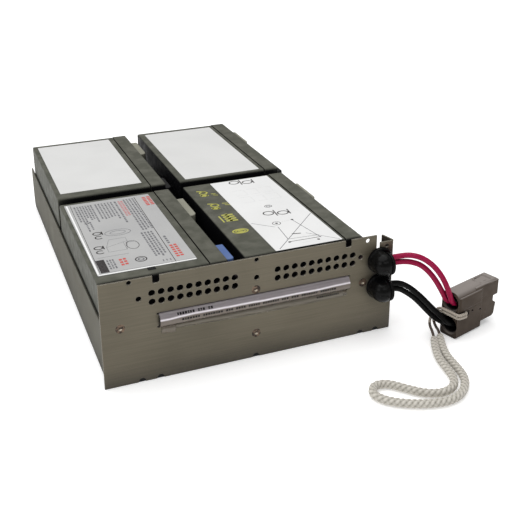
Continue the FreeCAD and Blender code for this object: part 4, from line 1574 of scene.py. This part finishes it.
@dataclass(frozen=True)
class Block:
    """Colour block: one filled rectangle, or short thick bars with slivers of paper between them."""

    ink: Ink
    across: Pair
    along: Pair
    woven: bool = True
    pitch: float = 0.026
    bar: Pair = (0.12, 0.78)
    sliver: float = 0.08
    slip: float = 0.004

    def lay(self, press: Press, at: Where) -> None:
        """Print it.

        Args:
            press: Press that prints it.
            at: What turns its sides into metres.
        """
        def fill(left: float, right: float, near: float, far: float) -> None:
            """Fill one rectangle."""
            press.patch(self.ink, [at(left, near), at(right, near), at(right, far), at(left, far)])

        (left, right), (near, far) = self.across, self.along
        if not self.woven:
            fill(left, right, near, far)
            return
        count = max(3, round((far - near) / self.pitch))
        middle, gap = (left + right) / 2, (right - left) * self.sliver
        for number in range(count):
            low, high = (near + (far - near) * (number + part) / count for part in self.bar)
            fill(left, middle - gap, low, high)
            fill(middle + gap, right, low + self.slip, high + self.slip)


@dataclass(frozen=True)
class SmallPrint:
    """Rows of short dashes that stand for lines of small print.

    The rows share out the width between two places. Each runs from the first place along the surface
    towards the second, and may end early by the ragged share. Only the width of a row is in metres.
    """

    ink: Ink
    across: Pair
    along: Pair
    count: int
    width: float
    seed: int
    ragged: float
    dash: Pair = (0.010, 0.028)
    gap: float = 0.008
    least: float = 0.012

    def lay(self, press: Press, at: Where) -> None:
        """Print them.

        Args:
            press: Press that prints them.
            at: What turns their places into metres.
        """
        chance = random.Random(self.seed)
        begin, end = self.along
        way = 1 if end > begin else -1
        for number in range(self.count):
            place = self.across[0] + (self.across[1] - self.across[0]) * (number + 0.5) / self.count
            reach = begin + (end - begin) * (1.0 - chance.random() * self.ragged)
            here = begin
            while (reach - here) * way > self.least:
                dash = way * chance.uniform(*self.dash)
                stop = here + dash if (reach - here - dash) * way > 0 else reach
                press.bar(self.ink, at(place, here), at(place, stop), self.width)
                here = stop + way * self.gap


@dataclass(frozen=True)
class Group:
    """Shapes whose places are distances from one point, in metres."""

    anchor: Pair
    shapes: tuple[Stroke | Outline | Oval, ...]

    def lay(self, press: Press, at: Where) -> None:
        """Print them.

        Args:
            press: Press that prints them.
            at: What turns the point into metres.
        """
        x, y = at(*self.anchor)
        for shape in self.shapes:
            shape.lay(press, lambda across, along: (x + across, y + along))


Shape = Stroke | Outline | Oval | Dashes | Block | SmallPrint | Group


@dataclass
class LabelArt:
    """Plain artwork on the two printed labels and on the bare strip beside one of them."""

    inks: dict[Ink, Material]

    def small_print(self) -> list[Shape]:
        """Front left label: columns of small print, line sketches and colour blocks, in fractions of it.

        Returns:
            The shapes to print.
        """
        mark = (Oval(Ink.DARK, (0.0, 0.00375), (0.0031, 0.0025), 0.0010),
                Stroke(Ink.DARK, (0.00375, 0.0065), (0.00375, 0.0005), 0.0010),
                Oval(Ink.DARK, (0.0, -0.00375), (0.00275, 0.0025), 0.0010, 40.0, 280.0))
        box = (Outline(Ink.GREY, ((-0.0085, -0.0105), (0.0051, -0.0105), (0.0085, 0.0042), (0.0085, 0.0105),
                                  (-0.00425, 0.0105), (-0.0085, -0.0021)), 0.00025),
               Stroke(Ink.GREY, (0.0051, -0.0105), (0.0051, 0.00315), 0.0002),
               Stroke(Ink.GREY, (-0.0085, -0.0021), (0.0085, 0.0042), 0.0002))
        return [
            Stroke(Ink.WHITE, (0.026, 0.990), (0.012, 0.012), 0.0013),
            Stroke(Ink.WHITE, (0.01, 0.008), (0.99, 0.008), 0.0014),
            Stroke(Ink.DARK, (0.066, 0.985), (0.034, 0.031), 0.0004),
            Stroke(Ink.DARK, (0.817, 0.976), (0.787, 0.015), 0.0005),
            SmallPrint(Ink.GREY, (0.085, 0.150), (0.955, 0.60), 2, 0.0014, 2, 0.3),
            SmallPrint(Ink.GREY, (0.150, 0.305), (0.955, 0.64), 5, 0.0013, 3, 0.4),
            SmallPrint(Ink.GREY, (0.12, 0.21), (0.70, 0.54), 2, 0.0013, 4, 0.3),
            SmallPrint(Ink.GREY, (0.325, 0.545), (0.955, 0.66), 6, 0.0013, 5, 0.25),
            SmallPrint(Ink.GREY, (0.545, 0.600), (0.955, 0.60), 1, 0.0015, 8, 0.1),
            SmallPrint(Ink.GREY, (0.665, 0.805), (0.965, 0.43), 4, 0.0014, 11, 0.12),
            SmallPrint(Ink.GREY, (0.625, 0.765), (0.44, 0.09), 4, 0.0014, 13, 0.12),
            SmallPrint(Ink.GREY, (0.140, 0.225), (0.165, 0.04), 3, 0.0012, 17, 0.2),
            SmallPrint(Ink.GREY, (0.832, 0.855), (0.350, 0.24), 1, 0.0018, 19, 0.1),
            SmallPrint(Ink.GREY, (0.66, 0.77), (0.062, 0.025), 3, 0.0007, 21, 0.2),
            SmallPrint(Ink.PINK, (0.600, 0.665), (0.95, 0.68), 2, 0.0017, 7, 0.12),
            Group((0.195, 0.49), mark),
            Group((0.135, 0.30), mark),
            Oval(Ink.GREY, (0.41, 0.495), (0.0100, 0.0056), 0.00045),
            Oval(Ink.GREY, (0.41, 0.495), (0.0060, 0.0030), 0.00045),
            Group((0.335, 0.335), box),
            Oval(Ink.DARK, (0.484, 0.303), (0.0046, 0.0072), 0.00045),
            Stroke(Ink.GREY, (0.43, 0.345), (0.54, 0.345), 0.0004),
            Oval(Ink.DARK, (0.480, 0.112), (0.0040, 0.0038), 0.0009),
            Oval(Ink.GREY, (0.480, 0.112), (0.0020, 0.0019), 0.0010),
            Block(Ink.DARK, (0.043, 0.128), (0.026, 0.178), woven=False),
            Block(Ink.RED, (0.268, 0.340), (0.070, 0.160)),
            Block(Ink.RED, (0.897, 0.992), (0.815, 0.962)),
            Block(Ink.RED, (0.828, 0.905), (0.065, 0.228)),
            Stroke(Ink.GREY, (0.08, 0.205), (0.40, 0.205), 0.0003),
            Stroke(Ink.GREY, (0.01, 0.022), (0.99, 0.016), 0.0003),
        ]

    def bold_print(self) -> list[Shape]:
        """Front right label: bold marks, a dashed outline and a large line drawing, in fractions of it.

        Returns:
            The shapes to print.
        """
        mark = (Oval(Ink.DARK, (0.0, 0.0), (0.0042, 0.0036), 0.0010),
                Stroke(Ink.DARK, (0.0058, 0.0046), (0.0052, -0.0070), 0.0010),
                Oval(Ink.DARK, (0.0114, -0.0030), (0.0044, 0.0034), 0.0010),
                Stroke(Ink.DARK, (0.0171, 0.0026), (0.0165, -0.0070), 0.0010))
        shapes: list[Shape] = [
            Group((0.377, 0.962), mark),
            Group((0.404, 0.452), mark),
            Oval(Ink.DARK, (0.508, 0.545), (0.0030, 0.0024), 0.0005),
            Oval(Ink.GREY, (0.508, 0.545), (0.0016, 0.0012), 0.0006),
        ]
        for near, far in ((0.64, 0.72), (0.75, 0.83)):
            for left, right in ((0.22, 0.40), (0.46, 0.60), (0.66, 0.84)):
                shapes += [Dashes((left, near), (right, near)), Dashes((right, near), (right, far)),
                           Dashes((left, far), (right, far))]
        wheel, hub = (0.370, 0.310), (0.633, 0.325)
        shapes.append(Oval(Ink.DARK, wheel, (0.0032, 0.0030), 0.0005))
        for dot in (wheel, hub, (0.285, 0.070), (0.693, 0.046)):
            shapes.append(Oval(Ink.DARK, dot, (0.0006, 0.0006), 0.0010))
        return shapes + [
            Stroke(Ink.GREY, (0.337, 0.263), (0.303, 0.106), 0.0005),
            Stroke(Ink.GREY, (0.632, 0.318), (0.753, 0.064), 0.0005),
            Stroke(Ink.GREY, (0.986, 0.367), (0.073, 0.014), 0.0005),
            Stroke(Ink.GREY, (0.030, 0.360), (0.298, 0.269), 0.0004),
            Stroke(Ink.GREY, (0.62, 0.140), (0.966, 0.010), 0.0004),
            Stroke(Ink.GREY, (0.285, 0.106), (0.755, 0.094), 0.0004),
            Stroke(Ink.DARK, (0.285, 0.073), (0.761, 0.070), 0.0006),
            Stroke(Ink.DARK, (0.423, 0.156), (0.551, 0.147), 0.0011),
            Dashes((0.44, 0.316), (0.62, 0.325)),
            Dashes((0.44, 0.040), (0.62, 0.040)),
        ]

    def strip_marks(self) -> list[Shape]:
        """Small marks on the bare strip left of the front right label, in metres from its corner.

        Returns:
            The shapes to print.
        """
        word = (Stroke(Ink.OCHRE, (-0.0034, 0.0068), (0.0040, 0.0040), 0.0017),
                Oval(Ink.OCHRE, (0.0012, 0.0016), (0.0032, 0.0026), 0.0015),
                Stroke(Ink.OCHRE, (-0.0034, -0.0032), (0.0036, -0.0056), 0.0018),
                Oval(Ink.OCHRE, (0.0002, -0.0044), (0.0026, 0.0018), 0.0012))
        ladder = tuple(Stroke(Ink.OCHRE, (-0.0040, 0.0060 - fall), (0.0054, 0.0050 - fall), 0.0024)
                       for fall in (0.0, 0.0040, 0.0080, 0.0120))
        rails = (Stroke(Ink.OCHRE, (0.0, 0.0078), (0.0, -0.0080), 0.0022),
                 Stroke(Ink.OCHRE, (-0.0066, 0.0050), (-0.0063, -0.0080), 0.0012))
        target = tuple(Oval(Ink.OCHRE, (0.0, 0.0), (0.0060 * share, 0.0036 * share), 0.0014)
                       for share in (1.0, 0.62, 0.25))
        shapes = [Group((0.0109, 0.1274), word), Group((0.0107, 0.0974), word),
                  Group((0.0139, 0.0715), ladder + rails), Group((0.0133, 0.0436), target)]
        for anchor, reach in (((0.0199, 0.1224), 0.0024), ((0.0221, 0.0985), 0.0030)):
            shapes.append(Group(anchor, (
                Stroke(Ink.OCHRE, (-reach, reach), (reach * 0.6, reach * 0.5), 0.0012),
                Stroke(Ink.OCHRE, (-reach * 0.6, -reach * 0.3), (reach, -reach), 0.0010))))
        return shapes

    def build(self) -> None:
        """Print everything."""
        for name, node, shapes in (("print_front_left", "label_front_left", self.small_print()),
                                   ("print_front_right", "label_front_right", self.bold_print()),
                                   ("print_case_strip", "case_front_right", self.strip_marks())):
            press = Press(name, *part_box(node), self.inks)
            for shape in shapes:
                shape.lay(press, press.offset if node.startswith("case") else press.share)
            press.finish()


# ---------------------------------------------------------------- blocks, connector and wiring
@dataclass
class BatteryBlock:
    """One sealed block with its label, covers and boots."""

    row: Row
    side: Side
    finishes: dict[str, Material]

    def build(self) -> None:
        """Dress the block's solids."""
        for part, finish in self.finishes.items():
            dress(f"{part}_{self.row.value}_{self.side.value}", finish)
        LOG.info("block %s %s dressed", self.row.value, self.side.value)


@dataclass
class GlandPair:
    """Two right-angle strain reliefs."""

    nylon: Material

    def build(self) -> None:
        """Dress both."""
        for level in ("upper", "lower"):
            dress(f"gland_{level}", self.nylon)
        LOG.info("glands dressed")


def add_grid(build: Mesh, counts: tuple[int, int], first: Pair, second: Pair,
             spot: Callable[[float, float], Point]) -> list[Ring]:
    """Add a grid of vertices over two ranges.

    Args:
        build: Mesh that gets the vertices.
        counts: Steps over the first and over the second range.
        first: First range.
        second: Second range.
        spot: What turns a value of each range into a place.

    Returns:
        The rows of vertices, one for each value of the first range.
    """
    rows = []
    for number in range(counts[0] + 1):
        here = first[0] + (first[1] - first[0]) * number / counts[0]
        there = [second[0] + (second[1] - second[0]) * count / counts[1] for count in range(counts[1] + 1)]
        rows.append(add_ring(build, [spot(here, place) for place in there]))
    return rows


@dataclass
class PowerConnector:
    """Housing, contacts and springs, with the raised crown of the mating end and the cheek of the cable end.

    Lengths are in millimetres, in the connector's own frame.
    """

    place: ConnectorPlace
    crown: Pair = (27.6, 47.4)
    crown_top: float = 35.9
    crown_foot: float = 34.2
    crown_sink: float = 0.4
    crown_rim: float = 0.55
    crown_radius: float = 3.4
    crown_rise: float = 2.4
    crown_counts: tuple[int, int] = (70, 52)
    seat_middle: float = 33.4
    seat_end: float = 41.0
    seat_radius: float = 4.3
    seat_depth: float = 1.1
    slot_along: Pair = (34.2, 37.8)
    slot_across: Pair = (4.4, 5.6)
    slot_depth: float = 1.6
    cheek_along: Pair = (1.0, 27.2)
    cheek_up: Pair = (21.8, 33.2)
    cheek_face: float = 0.12
    cheek_back: float = 0.4
    cheek_proud: float = 0.75
    cheek_radius: float = 1.6
    cheek_counts: tuple[int, int] = (52, 26)

    def crown_height(self, along: float, across: float) -> float:
        """Height of the crown, rounded down towards its rim and sunk at its round-ended seat and its slot.

        Args:
            along: Distance towards the mating end.
            across: Distance through the thickness.

        Returns:
            The height above the floor.
        """
        start, end = self.crown
        half, radius = self.place.thickness / 2, self.crown_radius
        to_rim = min(end - along, half - self.crown_rim - abs(across - half))
        drop = radius - math.sqrt(max(0.0, radius ** 2 - max(0.0, radius - to_rim) ** 2))
        blend = min(1.0, max(0.0, (along - start) / self.crown_rise))
        from_seat = math.hypot(max(0.0, self.seat_middle - along), across - half)
        sunk = self.seat_depth if along < self.seat_end and from_seat < self.seat_radius else 0.0
        (near, far), (left, right) = self.slot_along, self.slot_across
        if near < along < far and left < across < right:
            sunk = self.slot_depth
        return self.crown_foot + max(0.0, (self.crown_top - self.crown_foot) * blend - drop - sunk)

    def cheek_depth(self, along: float, up: float) -> float:
        """Place of the cheek's outer face through the thickness, rounded off towards its rim.

        Args:
            along: Distance towards the mating end.
            up: Height above the floor.

        Returns:
            The distance through the thickness.
        """
        (start, end), (low, high) = self.cheek_along, self.cheek_up
        inside = min(end - along, along - start, up - low, high - up)
        out = self.cheek_proud * math.sin(min(1.0, inside / self.cheek_radius) * math.pi / 2)
        return self.cheek_face - out

    def add_crown(self, shell: Material) -> None:
        """Add the crown over the mating end.

        Args:
            shell: Finish of the housing.
        """
        at, foot = self.place.at, self.crown_foot - self.crown_sink
        counts, wide = self.crown_counts, (self.crown_rim, self.place.thickness - self.crown_rim)
        build = bmesh.new()
        shown = add_grid(build, counts, self.crown, wide, lambda x, y: at(x, y, self.crown_height(x, y)))
        add_skin(build, shown, add_grid(build, counts, self.crown, wide, lambda x, y: at(x, y, foot)))
        mesh_piece("connector_crown", build, shell, "connector_grey")

    def add_shoulder(self, shell: Material) -> None:
        """Add the thicker cheek of the cable end, which steps down half way along the housing.

        Args:
            shell: Finish of the housing.
        """
        at, back = self.place.at, self.cheek_back
        counts, along, up = self.cheek_counts, self.cheek_along, self.cheek_up
        build = bmesh.new()
        shown = add_grid(build, counts, along, up, lambda x, z: at(x, self.cheek_depth(x, z), z))
        add_skin(build, shown, add_grid(build, counts, along, up, lambda x, z: at(x, back, z)))
        mesh_piece("connector_shoulder", build, shell, "connector_grey")

    def build(self) -> None:
        """Dress the connector and add its crown and shoulder."""
        # Pale tops: partly dust, partly painted light, as up-facing faces are lightened by a fixed share
        # whatever the dust.
        shell = MouldedPlastic("connector_shell", (0.076, 0.057, 0.043), (0.043, 0.030, 0.021),
                               (0.26, 0.22, 0.19), (0.4, 0.55), 0.00006, scuffs=0.6, dust=0.9,
                               dust_and_top_light_colour=(0.35, 0.32, 0.30), top_light=0.66, closed=(0.2, 0.55),
                               specular=0.07).make()
        contacts = PlatedMetal("contact_plating", (0.78, 0.77, 0.74), (0.6, 0.58, 0.55))
        springs = PlatedMetal("spring_plating", (0.6, 0.6, 0.6), (0.42, 0.42, 0.43))
        dress("connector_housing", shell)
        dress("connector_contacts", contacts.make())
        dress("connector_springs", springs.make())
        self.add_crown(shell)
        self.add_shoulder(shell)
        LOG.info("connector dressed")


@dataclass
class InnerWiring:
    """Leads and jumpers behind the panel and between the blocks; lengths in metres, routes in millimetres."""

    jackets: Jackets
    corner: Pair = (-109.0, -173.0)
    leads: dict[str, tuple[float, list[Point]]] = field(default_factory=lambda: {
        "lead_red_right": (0.024, [
            (206.4, 7.0, 60.5), (206.4, 14.6, 60.5), (208.8, 22.6, 57.8), (208.8, 30.9, 57.8)]),
        "lead_red_left": (0.133, [
            (206.4, 7.0, 56.1), (206.4, 14.0, 56.1), (200.4, 18.4, 50.4), (192.6, 19.8, 42.6),
            (178.0, 19.2, 40.8), (156.0, 18.4, 41.4), (134.0, 19.0, 40.8), (118.0, 18.4, 41.8),
            (107.4, 17.0, 48.6), (101.8, 21.8, 57.8), (101.8, 30.9, 57.8)]),
        "lead_black_right": (0.273, [
            (206.4, 7.0, 39.5), (206.4, 15.0, 39.5), (209.5, 26.0, 39.9), (209.5, 44.0, 40.6),
            (209.2, 90.0, 39.8), (209.5, 136.0, 40.8), (209.2, 182.0, 39.8), (209.5, 226.0, 41.0),
            (209.3, 246.0, 46.6), (208.8, 261.0, 60.0), (208.8, 274.6, 60.0)]),
        "lead_black_left": (0.369, [
            (206.4, 7.0, 35.1), (206.4, 14.0, 35.1), (199.4, 19.0, 34.4), (186.0, 19.8, 33.4),
            (160.0, 18.6, 33.6), (134.0, 19.4, 33.2), (114.0, 18.6, 34.2), (105.4, 19.2, 35.8),
            (104.7, 28.0, 38.0), (104.7, 44.0, 39.6), (105.5, 90.0, 40.4), (104.3, 136.0, 39.8),
            (105.3, 182.0, 40.4), (104.7, 226.0, 41.0), (103.5, 246.0, 46.6), (101.8, 261.0, 60.0),
            (101.8, 274.6, 60.0)]),
        "jumper_left": (0.034, [
            (101.8, 154.5, 58.9), (101.8, 165.9, 58.9), (101.8, 177.2, 58.9), (101.8, 188.6, 58.9)]),
        "jumper_right": (0.034, [
            (208.8, 154.5, 58.9), (208.8, 165.9, 58.9), (208.8, 177.2, 58.9), (208.8, 188.6, 58.9)]),
    })

    def build(self) -> None:
        for name, (length, route) in self.leads.items():
            self.jackets.lay(name, in_metres(route, self.corner), length)
        LOG.info("inner wiring laid")


@dataclass
class LidRecess:
    """Painted shade of a small recess in the front left block's top, at the label's front edge."""

    plastic: Material
    left: float = 0.0347
    width: float = 0.0054
    length: float = 0.0038
    overlap: float = 0.0003
    sunk: float = 0.0001
    proud: float = 0.00006

    def build(self) -> None:
        """Add the recess as a thin near-black patch with a low rim, which paints the shade in it."""
        low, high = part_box("label_front_left")
        start, near = low.x + self.left, low.y - self.length
        build = bmesh.new()
        add_block(build, (start, near, high.z - self.sunk),
                  (start + self.width, low.y + self.overlap, high.z + self.proud))
        mesh_piece("lid_recess", build, self.plastic, "battery_case", smooth=False)


def block_finishes() -> dict[str, Material]:
    """Finishes that the four blocks share.

    Returns:
        The finish of each kind of solid, by the first part of the solid's name.
    """
    # Painted shade: the dark plastics go nearly black wherever neighbours lie within 60 mm, as between the
    # blocks and behind the panel; the pale ones only in narrow gaps.
    dark = {"shelter": 0.06, "closed": (0.56, 0.92), "specular": 0.07, "dust": 0.24}
    pale = {"shelter": 0.012, "closed": (0.3, 0.75)}
    finishes = {
        "case": MouldedPlastic("case_plastic", (0.076, 0.078, 0.062), (0.092, 0.093, 0.075),
                               (0.20, 0.20, 0.17), **dark),
        "lid": MouldedPlastic("lid_plastic", (0.080, 0.081, 0.064), (0.095, 0.096, 0.078),
                              (0.20, 0.20, 0.17), **dark),
        "terminal_cover": MouldedPlastic("cover_plastic", (0.29, 0.285, 0.23), (0.21, 0.205, 0.16),
                                         (0.5, 0.49, 0.43), **pale),
        "terminal_boot": MouldedPlastic("boot_blue_plastic", (0.095, 0.165, 0.38), (0.06, 0.11, 0.29),
                                        (0.24, 0.34, 0.58), **pale),
        "vent_cover": MouldedPlastic("vent_plastic", (0.07, 0.07, 0.055), (0.09, 0.09, 0.07),
                                     (0.18, 0.18, 0.16), **dark),
        "terminals": PlatedMetal("terminal_tin", (0.72, 0.71, 0.68), (0.5, 0.49, 0.46)),
        "label": PaperLabel("label_paper", (0.70, 0.70, 0.69), (0.66, 0.66, 0.65)),
    }
    return {part: finish.make() for part, finish in finishes.items()}


def build_blocks(dark_boot: Material) -> None:
    """Dress the four blocks. The front left one has a blue boot; the front ones have their own paper.

    Args:
        dark_boot: Finish of the black boots.
    """
    shared = block_finishes()
    papers = {
        Side.LEFT: PaperLabel("label_grey_paper", (0.45, 0.45, 0.445), (0.40, 0.40, 0.40)).make(),
        Side.RIGHT: PaperLabel("label_bright_paper", (0.80, 0.80, 0.795), (0.75, 0.75, 0.745)).make(),
    }
    for row in Row:
        for side in Side:
            own = {"label": papers[side]} if row is Row.FRONT else {}
            if (row, side) != (Row.FRONT, Side.LEFT):
                own["terminal_boot"] = dark_boot
            BatteryBlock(row, side, {**shared, **own}).build()


def main() -> None:
    """Build the scene in order."""
    logging.basicConfig(level=logging.INFO, format="%(message)s")
    Studio().build()
    place = ConnectorPlace()
    red = CableJacket("red_jacket", (0.29, 0.004, 0.045), (0.34, 0.02, 0.08), coat=0.10, specular=0.10).make()
    black = CableJacket("black_jacket", (0.004, 0.004, 0.004), (0.006, 0.006, 0.006), coat=0.10,
                        specular=0.04).make()
    PowerCables(place, Jackets(red, black)).build()
    rope = BraidYarn("rope_yarn", (0.66, 0.63, 0.57), (0.27, 0.25, 0.21)).make()
    tie = BraidYarn("tie_yarn", (0.60, 0.55, 0.47), (0.17, 0.13, 0.10)).make()
    PullCords(place, rope, tie).build()
    TrayBody().build()
    inks = {ink: PrintInk("ink_" + ink.name.lower(), ink).make() for ink in Ink}
    PullHandle(inks[Ink.BLACK]).build()
    dark_boot = MouldedPlastic("boot_black_plastic", (0.006, 0.006, 0.006), (0.009, 0.009, 0.009),
                               (0.03, 0.03, 0.03), dust=0.02, specular=0.15).make()
    build_blocks(dark_boot)
    LabelArt(inks).build()
    LidRecess(dark_boot).build()
    nylon = MouldedPlastic("gland_nylon", (0.003, 0.003, 0.003), (0.005, 0.005, 0.005), (0.03, 0.03, 0.03),
                           (0.18, 0.3), dust=0.01, specular=0.10).make()
    GlandPair(nylon).build()
    PowerConnector(place).build()
    # Painted shade: the leads inside are a darker copy of the red insulation, with strong sheltered shade.
    shaded_inner_red = CableJacket("inner_red_shaded_jacket", (0.10, 0.002, 0.014), (0.14, 0.01, 0.03), shelter=0.05,
                            closed=(0.5, 0.95)).make()
    InnerWiring(Jackets(shaded_inner_red, black)).build()


if __name__ == "__main__":
    main()
